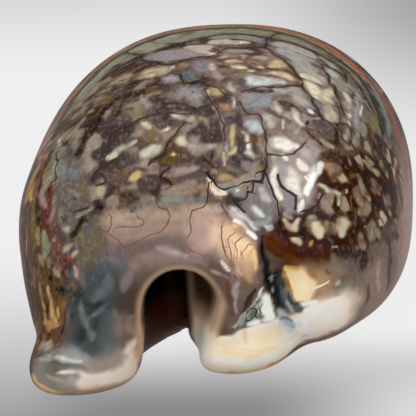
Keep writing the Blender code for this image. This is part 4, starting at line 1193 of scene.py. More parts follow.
NOSE_MARKS = [
    ((104, 80, 78), 0.3, (5.8, 27.8), (4.9, 27.5), (4.8, 27), (6, 26.1), (6.3, 25.7)),
    ((224, 207, 178), (1, 0.6), (5.5, 27.2), (6.8, 26.4), (7.6, 25.7)),
    ((188, 182, 182), 1.3, (6.6, 27.2), (8.2, 26), (10, 24.6)),
    ((132, 132, 138), 0.6, (8.6, 25.9), (10.6, 24.4)),
    ((26, 24, 28), 0.34, (6.8, 27.9), (7.7, 27), (8.6, 26.2), (9, 26)),
    ((176, 138, 92), 0.7, (6.3, 25.1), (8.8, 24.3)),
    ((222, 194, 150), 0.5, (6.8, 24.9), (8, 24.6)),
    # painted highlight along the crest
    ((240, 238, 236), (1, 0.6), (7.3, 25.5), (8.8, 24.7), (10.7, 23.2)),
    ((134, 96, 84), 0.26, (5.6, 24.8), (5.05, 24.6), (4.9, 23.8), (5.2, 23), (5.7, 22.1), (6, 21.2)),
    ((150, 106, 84), 0.2, (7.6, 24.4), (6.7, 23.9), (6.4, 23.4), (6.6, 22.6), (6.7, 21.4)),
    ((166, 120, 92), 0.2, (9.2, 23.8), (8, 23.6), (7.5, 23.2), (7.45, 22.4), (7.5, 21.4)),
    ((176, 132, 96), 0.2, (10.2, 22.9), (9, 22.8), (8.4, 22.3), (8.3, 21.2)),
    # painted highlight
    ((218, 204, 188), 0.7, (5.2, 20.5), (5.9, 19.7)),
    ((150, 106, 84), 0.7, (6.4, 21), (6.9, 20)),
    ((168, 140, 130), 0.9, (3.4, 19), (5.4, 18.4)),
    ((72, 50, 30), (1.3, 0.8), (9.6, 15.4), (8.4, 14), (7.2, 12.4)),
    ((118, 82, 66), 1, (5.8, 17.4), (6, 14.5), (5.9, 12)),
    ((112, 93, 77), 0.8, (4.9, 16.4), (5, 13)),
    ((160, 147, 144), (0.9, 0.35), (7.2, 17.6), (6.9, 16), (6.7, 14), (6.5, 12.4)),
    ((110, 77, 67), 0.25, (6.9, 18.7), (7.6, 17.9)),
    ((150, 111, 97), 0.8, (6.2, 18.2), (6.6, 17.6)),
    ((186, 158, 144), 0.8, (7.6, 20), (8.4, 19.2)),
]
FOLD_MARKS = [
    ((132, 142, 142), 0.55, (11.9, 16.8), (12.7, 16.8)),
    ((128, 138, 140), (0.5, 0.3), (12.3, 16.6), (12.2, 15), (12.2, 13.4), (12.8, 12.3)),
    ((70, 82, 88), 0.4, (13.4, 15.8), (13.5, 13.6)),
    ((142, 148, 140), 1.3, (10.3, 14), (8.6, 12), (7.2, 10.4)),
    ((158, 164, 154), 1.9, (10.6, 13.6), (9.2, 10.8)),
    ((206, 210, 198), 1.3, (11, 13.4), (10.8, 11.4)),
    ((226, 226, 214), 1.6, (11.3, 12.4), (11.9, 10.9)),
    ((212, 214, 206), 0.9, (8.4, 10.2), (10.4, 10.3), (12.4, 10.6)),
    ((172, 172, 160), 0.45, (9.8, 13.9), (8.4, 12.4), (7.2, 11), (6.3, 9.7)),
    ((108, 110, 104), (0.8, 1.2), (9.3, 12.6), (8.7, 11.5)),
    ((56, 58, 54), 0.24, (8.4, 12.4), (9.3, 12.9), (9.9, 12.2),
     (9.7, 11.2), (9, 10.6), (8.2, 10.7), (8.4, 11.6)),
    ((96, 100, 92), 0.2, (10.8, 13.2), (10.3, 12.2), (10.3, 11.2), (9.7, 10.6)),
    ((86, 90, 84), 0.2, (10.4, 13.9), (9.6, 13.2), (8.4, 12)),
    # the pure white lines along the facet's edges are painted highlights
    ((255, 255, 255), (0.7, 0.4), (10.8, 15.2), (10.1, 14.4), (9.3, 13.5)),
    ((190, 190, 188), 0.35, (10.8, 15.6), (11, 15.9)),
    ((255, 252, 236), 0.45, (10.9, 14.2), (11.3, 13.4)),
    ((255, 255, 248), (0.5, 0.9), (11.4, 13), (11.7, 11.8), (12.3, 11)),
    ((58, 62, 64), 0.6, (14.9, 14.2), (15.4, 13), (16.6, 12.9)),
    ((150, 152, 150), 0.6, (14.3, 13.6), (14.9, 12.4), (15, 11.2)),
    ((238, 214, 172), (3.3, 3), (16, 16.5), (17.5, 15.6)),
    ((240, 216, 170), 1.6, (14.3, 17.7), (15, 16.6)),
    ((242, 222, 184), 1.8, (16.2, 14.9), (17.4, 14.2)),
    ((250, 236, 208), 1.5, (16.8, 15.8), (18, 15.4)),
    ((196, 148, 88), 0.6, (14, 18.3), (16.4, 18.3)),
    ((150, 100, 44), 0.6, (13.4, 18.4), (14, 16.9), (14.8, 15.3), (15.9, 14)),
    ((120, 90, 60), 0.5, (20.4, 18), (21, 16.4)),
    ((150, 156, 148), 0.9, (21.5, 15.6), (22, 15.3)),
    ((240, 228, 202), 0.26, (18, 15), (20.6, 15.7)),
    ((120, 116, 100), 0.9, (22.6, 14.7), (25.4, 13.7)),
    # blue-grey and white on the fold above the right lobe: painted sheen
    ((150, 158, 164), (1, 1.7), (13.1, 12), (13.9, 10.4), (14.6, 9)),
    ((206, 214, 220), 0.5, (12.9, 11.6), (13.8, 11.8), (14.3, 11.4)),
    ((104, 112, 122), 0.5, (13.3, 10.3), (14.2, 10.4), (14.9, 9.8)),
]
LOBE_MARKS = [
    ((214, 206, 196), 0.9, (4.2, 8.2), (6.6, 8.8), (9, 9.2), (12.4, 9.8)),
    ((214, 180, 140), (0.7, 1.1), (7.8, 9.2), (8.2, 7.5)),
    ((226, 204, 178), 1.5, (3.6, 7.2), (6.6, 7.4)),
    ((250, 232, 196), 2.2, (10, 7.3), (11.2, 7.3)),
    ((236, 212, 176), 0.7, (3.5, 5.9), (8, 5.6), (13, 5.8)),
    ((250, 248, 240), 1.2, (3.4, 4.6), (8, 4), (12.6, 4.6)),
    ((214, 190, 152), 0.5, (4.2, 6.6), (7, 6.4), (9.6, 6.3)),
    ((206, 177, 151), 1, (4, 2.6), (9, 2.4), (12, 3)),
    ((206, 176, 146), 0.8, (12.8, 9.2), (12.9, 7.6)),
    # grey at the top of the lobe: painted sheen
    ((176, 178, 182), 1.9, (13.2, 9.5), (14.3, 7.6)),
    ((180, 180, 180), 1.6, (15.6, 9.8), (16.4, 8.4)),
    ((150, 146, 146), 0.5, (15.2, 8.8), (14.8, 7.4)),
    ((170, 166, 162), 0.7, (17.8, 11), (17.4, 9), (16.6, 7.2)),
    # near-white lines over the knob and down its side: painted highlights
    ((252, 251, 248), 0.9, (17, 11.6), (16.7, 9.4), (15.8, 7.2), (14.2, 4.8)),
    ((228, 224, 216), 0.5, (15.2, 8.2), (13.6, 6.4)),
    ((255, 255, 252), 0.9, (16.2, 12.7), (17.6, 13.3), (18.8, 13.2)),
    ((250, 247, 242), 1.1, (17.7, 11.4), (20.2, 12.5)),
    ((140, 104, 90), 0.9, (17.6, 4.6), (20, 4.8), (24, 6), (28, 8.4)),
    ((96, 75, 63), 0.9, (26, 13), (25.6, 9.6)),
    ((150, 138, 132), 1.1, (27.8, 14.4), (27.6, 11)),
    ((84, 53, 43), 0.9, (29.4, 13), (28.8, 9.8)),
]
LEG_MARKS = [
    ((52, 58, 60), 0.9, (-12.6, 15.3), (-11.8, 16.3)),
    ((44, 54, 58), 1.2, (-13.9, 14.4), (-13.8, 12.9)),
    ((56, 68, 74), 1, (-13.4, 13.8), (-12.6, 12), (-12.4, 10.6)),
    ((112, 118, 118), 0.9, (-16.6, 14.4), (-16.2, 12.6), (-15.6, 11.4)),
    ((52, 62, 64), 0.35, (-16, 13.8), (-15.3, 12.4), (-14.9, 11.6)),
    ((112, 112, 118), 1.8, (-12, 17.6), (-13.4, 16), (-14.6, 15)),
    ((104, 112, 116), 0.8, (-12.4, 14.4), (-13.6, 13.2), (-15.2, 12.4)),
    ((104, 112, 108), 1.3, (-15.2, 10.8), (-14.6, 9.8)),
    ((44, 54, 56), 0.7, (-13.4, 12.6), (-12.6, 11.8), (-12.8, 10.8)),
    ((110, 108, 101), 0.8, (-11.6, 13.4), (-11, 12.9)),
    ((118, 109, 116), 1.2, (-11.8, 20.6), (-11, 20.2)),
    ((190, 188, 182), 0.6, (-21.6, 7.6), (-19, 7.3), (-16.6, 6.6)),
    ((76, 78, 76), 0.55, (-21.2, 6.9), (-19, 6.6), (-16.6, 6), (-15.4, 5.2)),
    ((206, 200, 190), 0.6, (-20.4, 5.6), (-18.6, 5.5), (-16.4, 5), (-14.8, 4.2)),
    ((160, 152, 138), 0.7, (-22.4, 5.2), (-21, 4.6), (-19.4, 4.2)),
    ((152, 148, 148), 0.7, (-23, 6.8), (-21.4, 7.2)),
    ((112, 99, 80), 0.6, (-21, 6.2), (-19.8, 5.9)),
    # painted highlight on the lobe's right part
    ((232, 224, 214), 1.4, (-13.6, 3.8), (-12.2, 3.4)),
    ((200, 160, 96), (1, 1.4), (-24.4, 3.8), (-22.6, 2.2), (-20, 1.5)),
    ((224, 190, 132), 0.6, (-24.2, 4.4), (-22.8, 3), (-20.8, 2.2)),
    ((184, 140, 104), 1, (-18, 1.3), (-13, 1.3), (-10, 1.7)),
    ((204, 172, 144), 0.7, (-17, 2.3), (-11, 2.1)),
    ((162, 148, 118), 0.5, (-20, 10.4), (-20.8, 9.6), (-22, 8.9), (-23, 8.3)),
    ((60, 52, 46), 0.26, (-19.6, 10), (-20.4, 9), (-21.6, 8.2), (-23, 7.3), (-23.8, 6.8)),
    ((70, 62, 54), 0.22, (-19.4, 9.2), (-20.6, 8.4), (-22, 7.6)),
]


def paint_rear_base(b):
    # broad soft zones of the rear face, under all its marks
    x, y, z = b.p.T
    b.lay((206, 172, 142), below(z, 3.6, 2.2) * below(y, -22, 4))
    b.front((110, 94, 86), 12, (-12, 22), (0, 23), (8, 20), edge=0.35)
    b.front((116, 98, 90), 7, (7, 20), (7.4, 12), edge=0.3)
    b.front((86, 86, 86), 9, (-14, 17), (-14.6, 10), edge=0.3)
    b.front((140, 134, 126), 9, (-20, 4.6), (-13, 4.6), edge=0.25)
    b.front((122, 104, 96), 4.6, (13, 15), (18, 12), edge=0.3)
    b.front((116, 98, 88), 7, (23, 17), (29, 14), edge=0.4)


def paint_band_ground(b):
    # dusky band above the callus, with a paler end at its right
    b.front((88, 70, 68), 5.4, (-13, 31), (-6, 32.4), (0, 32.6), (6, 32))
    b.front((90, 74, 72), 3.6, (-11, 28.8), (-4, 29.4), (4, 29.6))
    b.front((108, 96, 96), 2.8, (6, 31.4), (9.4, 30.6))
    b.crown((150, 138, 122), 5, (4, -27.4), (6, -26.6), (7, -25), edge=0.6)


def paint_band(b):
    # slate edge of the callus and the small pale marks above it
    b.front((116, 110, 112), (1.5, 2), (-8.4, 27.5), (-4, 27.6), (2.6, 28.1), amount=0.6, edge=0.8)
    spray(b.front, BAND_MARKS)


def paint_callus(b):
    # smooth fawn callus over the canal, with a pale painted highlight along it
    b.front((122, 104, 98), 6.4, (-9, 23), (-2, 23.4), (2, 23.4), edge=0.3)
    b.front((160, 138, 116), (2.9, 3.6), (-11, 25.8), (-5.6, 26.2), (-1.6, 26.2), (2, 26.2), edge=0.7)
    b.front((148, 126, 112), 2.9, (-10.6, 24), (-5, 24), (0, 24.2), edge=0.8)
    b.front((116, 98, 94), 3, (-10, 21.4), (-5.4, 21.8), (-1, 22.6), edge=0.7)
    b.front((170, 144, 130), 3.4, (1.8, 25.4), (3.8, 24.8), (4.8, 22.8), edge=0.9)
    b.front((160, 136, 128), 2.9, (0.6, 24), (2.4, 22), edge=0.8)
    b.front((176, 160, 154), 1.3, (1.6, 26.9), (5.2, 26.7), amount=0.7, edge=0.9)
    b.front((138, 118, 110), (1.6, 1.8), (-9.6, 19.6), (-6, 20.4), (-1, 20.4), (2.6, 19.6), edge=1)
    # painted highlight: a pale soft line along the callus
    b.front((166, 150, 142), (1.2, 0.8), (-4.6, 21.7), (-2, 21.5), (0, 21.1), amount=0.7, edge=1)
    spray(b.front, CALLUS_LINES, amount=0.85, edge=0.45)


def paint_nose(b):
    # peach nose at the right end of the callus, with its dark bands, and white bands that are painted
    # highlights along its crest and in a small dash below
    b.front((194, 166, 142), 4.6, (5.2, 23.6), (7.6, 22.6), edge=0.7)
    b.front((206, 176, 146), 3.2, (8.2, 22.8), (8.8, 20.8), edge=0.7)
    b.front((162, 136, 122), 3.6, (8.2, 19.2), (8.8, 17.2), edge=0.6)
    b.front((126, 106, 92), 2.9, (8.6, 17), (9.2, 15.2), edge=0.6)
    b.front((188, 154, 118), (1.9, 1.3), (9.6, 22), (9.6, 20), (9.4, 17.8), amount=0.7, edge=0.8)
    b.front((222, 184, 138), 0.7, (10.3, 22.2), (10.4, 20.2), edge=0.7)
    spray(b.front, NOSE_MARKS)


def paint_crease(b):
    # deep crease, slate hollow and the crumpled folds beside it; the crease and the hollow are painted dark
    # as painted shade
    b.front((92, 68, 68), 1.2, (11.3, 23.4), (11.2, 20.6), edge=0.5)
    # near-black painted shade down the crease and dark slate painted shade in the hollow
    b.front((26, 22, 24), (0.7, 1.9), (11.4, 22.4), (11.7, 19), (11.7, 16.4), (12.2, 14.2), edge=0.45)
    b.front((30, 39, 43), 3, (13, 16.4), (13.4, 13.2), edge=0.35)
    b.front((70, 72, 78), 0.9, (12.6, 19.6), (12.9, 18.2), edge=0.5)
    b.front((92, 94, 92), 2.6, (14.6, 14.2), (15.8, 12), edge=0.4)
    b.front((168, 136, 104), 4.4, (16.8, 16.2), (19.2, 16), edge=1)
    # near-black painted shade deep in the crease
    b.front((18, 14, 16), (0.4, 1), (11.3, 23.6), (11.5, 21), (11.6, 18), (11.7, 15.8), (12, 13.6), edge=0.5)
    spray(b.front, FOLD_MARKS)


def paint_right_lobe(b):
    # porcelain lobe and knob on the right of the canal, with painted highlights on the knob and painted sheen
    # at the lobe's top
    b.front((247, 236, 212), 6, (4, 5.2), (9, 5.6), (13, 6.6), edge=0.25)
    b.front((232, 216, 198), 4.6, (14.4, 8.6), (17.6, 9), edge=0.4)
    b.front((136, 116, 104), 6, (27, 13), (27.6, 9.6), edge=0.5)
    b.front((202, 186, 170), 4.8, (22.8, 11.2), (22.5, 9), edge=0.8)
    b.front((230, 224, 214), 6, (18.8, 9.6), (20.6, 10.6), edge=0.5)
    b.front((206, 192, 178), 2.6, (15, 5.4), (19, 7), (22.4, 7.8), edge=1)
    b.front((236, 234, 228), 1.8, (15, 8.6), (17.2, 7.8), edge=0.7)
    spray(b.front, LOBE_MARKS, amount=0.95, edge=0.65)


def paint_leg(b):
    # blue-grey leg and chalky lobe on the left of the canal; the whitish band on the lobe's right part and
    # the pale strip down the leg beside the arch are painted highlights
    b.front((104, 100, 102), 4.4, (-11.4, 19.4), (-12.4, 17), edge=0.4)
    b.front((80, 86, 88), 6.4, (-13.6, 16.6), (-14.6, 13), (-14.8, 9.4), edge=0.5)
    b.front((62, 62, 58), 2.4, (-17.4, 15.6), (-17.2, 12.6), amount=0.8, edge=0.8)
    b.front((54, 62, 62), 4, (-14.6, 13), (-15.2, 9.8), edge=0.6)
    b.front((84, 94, 85), 1.6, (-16.6, 12.4), (-15.2, 11.8), amount=0.7, edge=0.5)
    b.front((112, 106, 96), 3.6, (-21.6, 6.6), (-19, 5.4), amount=0.9, edge=1)
    b.front((146, 140, 132), 1.8, (-23, 8.2), (-21.4, 8.6), amount=0.8, edge=0.8)
    b.front((140, 142, 142), 2.4, (-18.6, 7.2), (-16, 6.8), edge=0.8)
    b.front((170, 164, 156), 2.8, (-18.4, 4.2), (-15.6, 4.2), amount=0.55, edge=1)
    # painted highlight along the right part of the lobe
    b.front((220, 206, 192), (2, 3), (-16, 3.4), (-12, 3.6), (-9.4, 4.2), amount=0.85, edge=1)
    b.front((84, 72, 64), 2.9, (-10, 17), (-10.2, 12.6), amount=0.9, edge=0.8)
    b.front((120, 102, 92), 2.6, (-10.2, 12), (-10.2, 8.4), amount=0.9, edge=0.8)
    b.front((140, 122, 110), 1.3, (-9, 12), (-8.9, 8), amount=0.7, edge=0.8)
    # painted highlight down the leg beside the arch
    b.front((200, 184, 166), 2.4, (-9.8, 6.4), (-9.4, 4.6), amount=0.9, edge=1)
    b.front((152, 138, 122), 2, (-16, 5.8), (-13.6, 5.7), (-11.2, 5.8), amount=0.7, edge=1)
    # painted highlights: the lobe's right end and the leg beside the arch
    b.front((236, 222, 204), 1.8, (-11, 3.2), (-9.2, 3.4), amount=0.9, edge=0.9)
    b.front((192, 182, 168), 1.8, (-9.6, 6.8), (-8.9, 7.6), amount=0.8, edge=1)
    b.front((124, 112, 110), 1.8, (-9.2, 18.6), (-10, 16.4), edge=0.4)
    spray(b.front, LEG_MARKS, amount=0.7, edge=0.6)


# ---- the whole ground ----
def paint_back(b):
    # back of the shell, right margin and left flank, with painted reflection along the hump's far rim and
    # painted sheen on the far right edge
    x, y, z = b.p.T
    b.lay((92, 64, 46), above(z, 12, 8))
    # olive-grey band on the far slope of the hump and a rose band at its rim: painted reflection
    far = above(b.rim, 0.55, 0.2) * below(b.rim, 1.02, 0.06) * above(z, 26, 6)
    b.lay((128, 124, 108), 0.85 * far)
    b.lay((176, 96, 72), 0.8 * above(b.rim, 0.96, 0.04) * below(b.rim, 1.26, 0.1) * above(z, 24, 6))
    b.dab((128, 108, 98), (29, -20, 14), (9, 16, 10), 0.8)
    # paler pinkish-grey on the far right edge: painted sheen
    b.dab((158, 132, 120), (33, -6, 15), (6, 16, 11), 0.8)
    b.dab((98, 60, 46), (-29, -20, 14), (4, 14, 12), 0.9)


def paint_clouds(b):
    # cloudy blotches of the hump, paler on its right, and streaks down the left flank
    x, y, z = b.p.T
    top = b.high * above(z, 34, 4)
    pale = b.high * above(x, 4.5, 4) * above(y, -24, 4)
    dusky = b.high * (1.0 - 0.85 * pale)
    flank = below(x, -18, 4) * below(z, 25, 5) * above(z, 7, 3) * below(y, -12, 6)
    b.mottle((106, 82, 76), (4.6, 3.4, 4), 10, 0.50, 0.55 * dusky, 0.3)
    b.mottle((62, 36, 32), (4.4, 3, 3.8), 11, 0.49, 0.8 * dusky, 0.13)
    b.mottle((160, 146, 130), (3.4, 2.4, 3.4), 12, 0.58, 0.65 * b.high, 0.14)
    b.mottle((60, 32, 16), (4.2, 1.5, 1.6), 13, 0.58, 0.6 * top * (1.0 - 0.6 * pale), 0.14)
    b.mottle((132, 98, 56), (2.2, 1.6, 2), 14, 0.64, 0.5 * dusky, 0.16)
    b.mottle((112, 90, 84), (3.6, 1.6, 2.4), 17, 0.52, 0.6 * pale, 0.2)
    b.mottle((78, 48, 32), (3.4, 0.9, 1.4), 18, 0.60, 0.7 * pale, 0.12)
    b.mottle((176, 136, 80), (0.9, 1.4, 5), 15, 0.60, 0.8 * flank, 0.1)
    b.mottle((52, 26, 16), (0.8, 1.2, 4.4), 16, 0.58, 0.85 * flank, 0.1)


def paint_underside(b):
    # fawn underside, dark gaps between the teeth, and the rolled lip of the rear canal
    x, y, z = b.p.T
    b.lay((186, 162, 140), below(z, 7, 4) * above(y, -27, 5))
    b.dab(FAWN, (-12, 6, 0), (9, 20, 5), 0.45)
    b.dab(FAWN, (17, 6, 0), (8, 20, 6), 0.45)
    ridge = 0.5 - 0.5 * np.cos(2.0 * np.pi * y / TOOTH_PITCH)
    toothed = above(y, TOOTH_SPAN[0], 4) * below(y, TOOTH_SPAN[1], 4)
    close = below(b.gap, 4.2, 2.2) * below(z, 6, 3)
    b.lay((112, 58, 34), 0.85 * (1.0 - ridge) * toothed * close)
    rolled = below(b.gap, 1.9, 1.2) * below(y, -20, 4) * b.open
    b.lay((198, 170, 140), 0.75 * rolled * above(z, 3, 2))


def paint_inside(b):
    # walls of the canal and the hollow, with painted shade high in the hollow and up the right wall of the
    # canal
    x, y, z = b.p.T
    dark_wall = b.inner * np.maximum(below(x, -0.5, 3), above(y, -25, 3))
    b.lay((176, 150, 130), b.inner)
    b.lay((78, 40, 25), b.inner * above(y, -27, 4) * below(y, -6, 6))
    b.lay((64, 27, 12), dark_wall * below(y, -12, 4))
    # near-black painted shade high in the hollow
    b.lay((8, 4, 3), b.inner * above(z, 8.5, 3) * below(y, -8, 6) * below(x, -1, 2))
    b.lay((190, 160, 134), b.inner * above(x, -1.5, 1.5) * below(y, -24, 4))
    front_wall = above(x, -2, 1.5) * below(y, -28.5, 3) * below(z, 10.5, 5) * below(b.gap, 2, 1.5)
    b.lay((224, 214, 200), 0.8 * front_wall * below(x, 5, 2))
    # the right wall of the rear canal is painted dark towards its top, as painted shade inside the canal, and
    # near-white towards its foot
    right_wall = above(x, -1.6, 1.4) * below(y, -24, 3) * below(b.gap, 1, 0.8)
    b.lay((52, 31, 14), 0.92 * right_wall * above(z, 7, 5.5) * above(y, -34.5, 4))
    b.lay((252, 248, 236), 0.9 * right_wall * below(z, 8.5, 4))
    sill = below(b.gap, 2.4, 1.4) * above(y, -32, 4) * below(y, -8, 4) * below(z, 8, 2)
    b.lay((74, 38, 22), 0.9 * sill * below(x, -2, 2))


def mask_markings(b):
    # values from 0 to 1 that say where the material's own markings and its gloss belong
    x, y, z = b.p.T
    hidden = np.maximum(above(b.rim, 1.18, 0.08), above(x, 31.5, 1.5) * above(y, -2, 5))
    hidden = np.maximum(hidden, below(x, -27.6, 1.5))
    right_side = above(x, 18.5, 1.5) * above(z, 18.5, 2.5) * below(y, -15, 4)
    shoulder = above(x, 23, 2) * above(z, 21, 3) * below(y, -6, 4)
    right_side = np.maximum(right_side, shoulder) * below(z, 35, 5)
    netted = np.maximum(hidden, right_side * (1.0 - 0.9 * b.marked)) * above(z, 13, 4)
    veiled = (1.0 - b.marked) * b.high * (1.0 - hidden) * (1.0 - right_side) * (1.0 - b.patch(*SHEEN))
    return {
        "grain": above(z, 10, 8) * (1.0 - b.patch(*SMOOTH_FACE)) * b.open,
        "net": netted * b.open,
        "veil": veiled * b.open,
        "shine": b.open * (1.0 - 0.85 * b.patch(*DULL_BAND)),
        "line": b.line,
        "left": b.left,
    }


def deepened(colour):
    level = colour.mean(axis=1, keepdims=True)
    rich = np.maximum(level + RICHER * (colour - level), LEAST_COLOUR)
    gain = np.minimum((level / DEEPEN_ABOUT) ** DEEPEN, MOST_COLOUR / rich.max(axis=1, keepdims=True))
    return np.clip(rich * gain, *COLOUR_SPAN)


def paint_ground(p):
    # from the broad zones to the small marks, which lie over them
    b = Airbrush(p, BROWN_BACK)
    paint_back(b)
    paint_rear_base(b)
    paint_hump(b)
    paint_band_ground(b)
    paint_clouds(b)
    paint_far_crown(b)
    paint_left_side(b)
    paint_right_net(b)
    paint_sheen(b)
    paint_crown_marks(b)
    paint_callus(b)
    paint_band(b)
    paint_leg(b)
    paint_nose(b)
    paint_right_lobe(b)
    paint_crease(b)
    paint_underside(b)
    paint_inside(b)
    return deepened(b.colour), b.ink, mask_markings(b)


def store(mesh, name, values):
    if values.ndim == 2:
        layer = mesh.attributes.new(name, "FLOAT_COLOR", "POINT")
        values = np.concatenate([values, np.ones((len(values), 1))], axis=1)
        layer.data.foreach_set("color", values.astype(np.float32).ravel())
        return
    layer = mesh.attributes.new(name, "FLOAT", "POINT")
    layer.data.foreach_set("value", values.astype(np.float32))


# ---- shader maths ----
class Wire:
    """A socket in a material; arithmetic on it adds Math nodes."""

    def __init__(self, glaze, socket):
        self.glaze = glaze
        self.socket = socket

    def math(self, operation, first, second=0.0, third=0.0):
        return self.glaze.node("Math", {"operation": operation}, {0: first, 1: second, 2: third})

    def outlet(self, name):
        # another outlet of the node that this one belongs to
        return Wire(self.glaze, self.socket.node.outputs[name])

    def __add__(self, other):
        return self.math("ADD", self, other)

    def __sub__(self, other):
        return self.math("SUBTRACT", self, other)

    def __mul__(self, other):
        return self.math("MULTIPLY", self, other)

    def __rsub__(self, other):
        return self.math("SUBTRACT", other, self)

    __radd__ = __add__
    __rmul__ = __mul__


class Glaze:
    """A material and the few kinds of node that it is built from."""

    def __init__(self, name):
        self.material = bpy.data.materials.new(name)
        self.material.use_nodes = True
        self.tree = self.material.node_tree
        self.tree.nodes.clear()

    def node(self, kind, settings, sockets, output=0):
        made = self.tree.nodes.new("ShaderNode" + kind)
        for name, value in settings.items():
            setattr(made, name, value)
        for key, value in sockets.items():
            if isinstance(value, Wire):
                self.tree.links.new(value.socket, made.inputs[key])
            else:
                made.inputs[key].default_value = value
        return Wire(self, made.outputs[output]) if made.outputs else None

    def place(self):
        return self.node("TexCoord", {}, {}, "Object")

    def vector(self, operation, first, second=(0.0, 0.0, 0.0), third=(0.0, 0.0, 0.0)):
        return self.node("VectorMath", {"operation": operation}, {0: first, 1: second, 2: third})

    def mix(self, share, first, second):
        def opened(colour):
            return colour if isinstance(colour, Wire) else tuple(tint(*colour)) + (1.0,)
        return self.node("Mix", {"data_type": "RGBA"}, {0: share, 6: opened(first), 7: opened(second)}, 2)

    def step(self, value, low, high):
        settings = {"interpolation_type": "SMOOTHSTEP"}
        return self.node("MapRange", settings, {0: value, 1: low, 2: high, 3: 0.0, 4: 1.0})

    def noise(self, place, scale, detail=2.0, output="Fac"):
        return self.node("TexNoise", {}, {"Vector": place, "Scale": scale, "Detail": detail}, output)

    def cells(self, place, feature, output="Distance"):
        return self.node("TexVoronoi", {"feature": feature}, {"Vector": place, "Scale": 1.0}, output)

    def luck(self, place):
        # one random value for each cell
        return self.node("SeparateColor", {}, {0: self.cells(place, "F1", "Color")})

    def layer(self, name, output="Fac"):
        return self.node("Attribute", {"attribute_name": name}, {}, output)

    def stir(self, place, scale, reach):
        # push a place about by a cloudy vector
        push = self.vector("SUBTRACT", self.noise(place, scale, output="Color"), (0.5, 0.5, 0.5))
        return self.vector("MULTIPLY_ADD", push, (reach, reach, reach), place)


def shell_glaze():
    # polished shell: net, spots, hair lines and grain laid over the sprayed ground
    g = Glaze("shell_glaze")
    place = g.vector("MULTIPLY_ADD", g.place(), (1 / MM,) * 3, HUMP_AXIS)
    stirred = g.stir(g.stir(place, 0.25, 1.6), 0.9, 0.5)
    fine = g.noise(place, 1.6, 3.0)
    ground = g.layer("ground", "Color")
    net = g.layer("net")
    veil = g.layer("veil")

    # cloudy grain in the enamel
    grain = g.noise(g.vector("MULTIPLY", stirred, GRAIN_GRID), 1.8, 4.0)
    rough = g.layer("grain")
    ground = g.mix(rough * g.step(grain, 0.50, 0.72) * 0.24, ground, (40, 26, 22))
    ground = g.mix(rough * g.step(1.0 - grain, 0.48, 0.74) * 0.17, ground, (206, 196, 180))

    # chestnut net with pale cells on the sides
    grid = g.vector("MULTIPLY", stirred, NET_GRID)
    luck = g.luck(grid)
    corner = g.step(g.cells(grid, "F1"), 0.40, 0.72)
    edge = g.cells(grid, "DISTANCE_TO_EDGE") + 0.10 * fine - 0.08 * luck - 0.12 * corner
    pale = g.mix(luck, (186, 176, 152), (112, 96, 82))
    ground = g.mix(net * 0.8, ground, (46, 18, 4))
    ground = g.mix(net * g.step(edge, 0.04, 0.13) * 0.8, ground, (124, 68, 10))
    ground = g.mix(net * g.step(edge, 0.10, 0.19), ground, pale)

    # faint pale spots on the hump
    spot_grid = g.vector("MULTIPLY", stirred, SPOT_GRID)
    spot = g.cells(spot_grid, "F1") - 0.36 * g.luck(spot_grid) + 0.12 * fine
    ground = g.mix(veil * (1.0 - g.step(spot, 0.06, 0.30)) * 0.1, ground, (92, 64, 36))
    ground = g.mix(veil * (1.0 - g.step(spot, -0.06, 0.08)) * 0.12, ground, (178, 168, 148))

    # dark branching lines through the net, a painted reflection of tree branches like the drawn ones
    wavy = g.stir(g.stir(place, 0.16, 9.0), 0.9, 1.6)
    branch_reflection_edge = g.cells(g.vector("MULTIPLY", wavy, BRANCH_REFLECTION_GRID), "DISTANCE_TO_EDGE")
    line = (1.0 - g.step(branch_reflection_edge, 0.004, 0.014)) * g.step(g.noise(place, 0.12), 0.42, 0.55)
    ground = g.mix(net * line * 0.85, ground, (42, 24, 20))

    # the drawn hair lines, which run where the skin passes from their left to their right
    side = g.layer("left")
    thread = 1.0 - g.step(side.math("ABSOLUTE", side), 0.6, 1.4)
    ground = g.mix(g.layer("line") * thread, ground, g.layer("ink", "Color"))

    # the gloss is weaker where the surface turns away
    facing = g.node("LayerWeight", {}, {0: 0.5}, "Facing")
    gloss = g.layer("shine") * COAT * (1.0 - g.step(facing, 0.25, 0.85))
    body = g.node("BsdfPrincipled", {}, {
        "Base Color": ground, "Roughness": 0.42, "Specular IOR Level": 0.05, "Coat Weight": gloss,
        "Coat Roughness": 0.11})
    g.node("OutputMaterial", {}, {0: body})
    return g.material


def floor_paint():
    # pale grey zones that the camera and reflections see almost as plain colour, with a faint shadow; the
    # darker grey in front of the shell and at the far right is painted shade
    g = Glaze("floor_paint")
    across = g.node("SeparateXYZ", {}, {0: g.vector("MULTIPLY", g.place(), (1 / MM,) * 3)})
    back = across.outlet("Y")
    wide = g.step(back, -70.0, 15.0)
    pale = wide + g.step(across, -32.0, -12.0) * (g.step(back, -47.0, -19.0) - wide)
    colour = g.mix(pale, (138, 138, 139), (241, 241, 241))
    colour = g.mix((1.0 - pale) * g.step(across, 6.0, 36.0), colour, (222, 222, 222))
    colour = g.mix(g.step(back, 90.0, 170.0), colour, (214, 214, 215))
    colour = g.mix(g.step(across, -20.0, 40.0) * g.step(back, 30.0, 150.0), colour, (160, 160, 161))
    lit = g.node("BsdfDiffuse", {}, {0: colour})
    shown = g.node("Emission", {}, {0: colour, 1: 1.0})
    camera = g.node("LightPath", {}, {}, "Is Camera Ray")
    seen = camera + camera.outlet("Is Glossy Ray") + camera.outlet("Is Transmission Ray")
    both = g.node("MixShader", {}, {0: seen * FLOOR_SEEN, 1: lit, 2: shown})
    g.node("OutputMaterial", {}, {0: both})
    return g.material


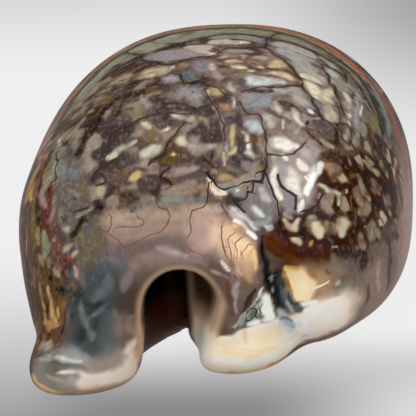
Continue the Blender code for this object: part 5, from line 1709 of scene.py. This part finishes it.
# ---- floor, light and camera ----
def set_stage():
    bpy.ops.mesh.primitive_plane_add(size=FLOOR_SIZE, location=(0.0, 0.0, 0.0))
    floor = bpy.context.active_object
    floor.name = "floor"
    floor.data.materials.append(floor_paint())
    world = bpy.data.worlds.new("studio")
    world.use_nodes = True
    sky = world.node_tree.nodes["Background"]
    sky.inputs["Color"].default_value = SKY
    sky.inputs["Strength"].default_value = SKY_STRENGTH
    bpy.context.scene.world = world


def add_softbox(name, place, aim, size, power, roll):
    bpy.ops.object.light_add(type="AREA", location=place)
    lamp = bpy.context.active_object
    lamp.name = name
    turn = (Vector(aim) - Vector(place)).to_track_quat("-Z", "Y").to_matrix()
    turn = turn @ Matrix.Rotation(math.radians(roll), 3, "Z")
    lamp.rotation_euler = turn.to_euler()
    lamp.data.shape = "RECTANGLE"
    lamp.data.size, lamp.data.size_y = size
    lamp.data.energy = power


def add_camera():
    turn, rise, roll = (math.radians(v) for v in (CAMERA_TURN, CAMERA_RISE, CAMERA_ROLL))
    back = Vector((math.sin(turn) * math.cos(rise), -math.cos(turn) * math.cos(rise), math.sin(rise)))
    side = Vector((math.cos(turn), math.sin(turn), 0.0))
    up = back.cross(side)
    right = math.cos(roll) * side + math.sin(roll) * up
    upright = math.cos(roll) * up - math.sin(roll) * side
    data = bpy.data.cameras.new("camera")
    data.lens = CAMERA_LENS
    data.sensor_width = 36.0
    data.clip_start = 0.02
    camera = bpy.data.objects.new("camera", data)
    bpy.context.collection.objects.link(camera)
    place = Matrix.Translation(Vector(CAMERA_AIM) * MM + back * CAMERA_REACH * MM)
    camera.matrix_world = place @ Matrix((right, upright, back)).transposed().to_4x4()
    bpy.context.scene.camera = camera


bpy.context.scene.view_settings.view_transform = "Standard"
set_stage()
for lamp_name, setting in SOFTBOXES.items():
    add_softbox(lamp_name, *setting)
add_camera()

skin, skin_points, to_shape = grow_skin()
ground_colour, line_colour, ground_masks = paint_ground(skin_points)
store(skin.data, "ground", ground_colour)
store(skin.data, "ink", line_colour)
for mask_name, mask_values in ground_masks.items():
    store(skin.data, mask_name, mask_values)
skin.data.transform(to_shape.inverted())
skin.data.materials.append(shell_glaze())
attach(skin, "root")
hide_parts("shell")
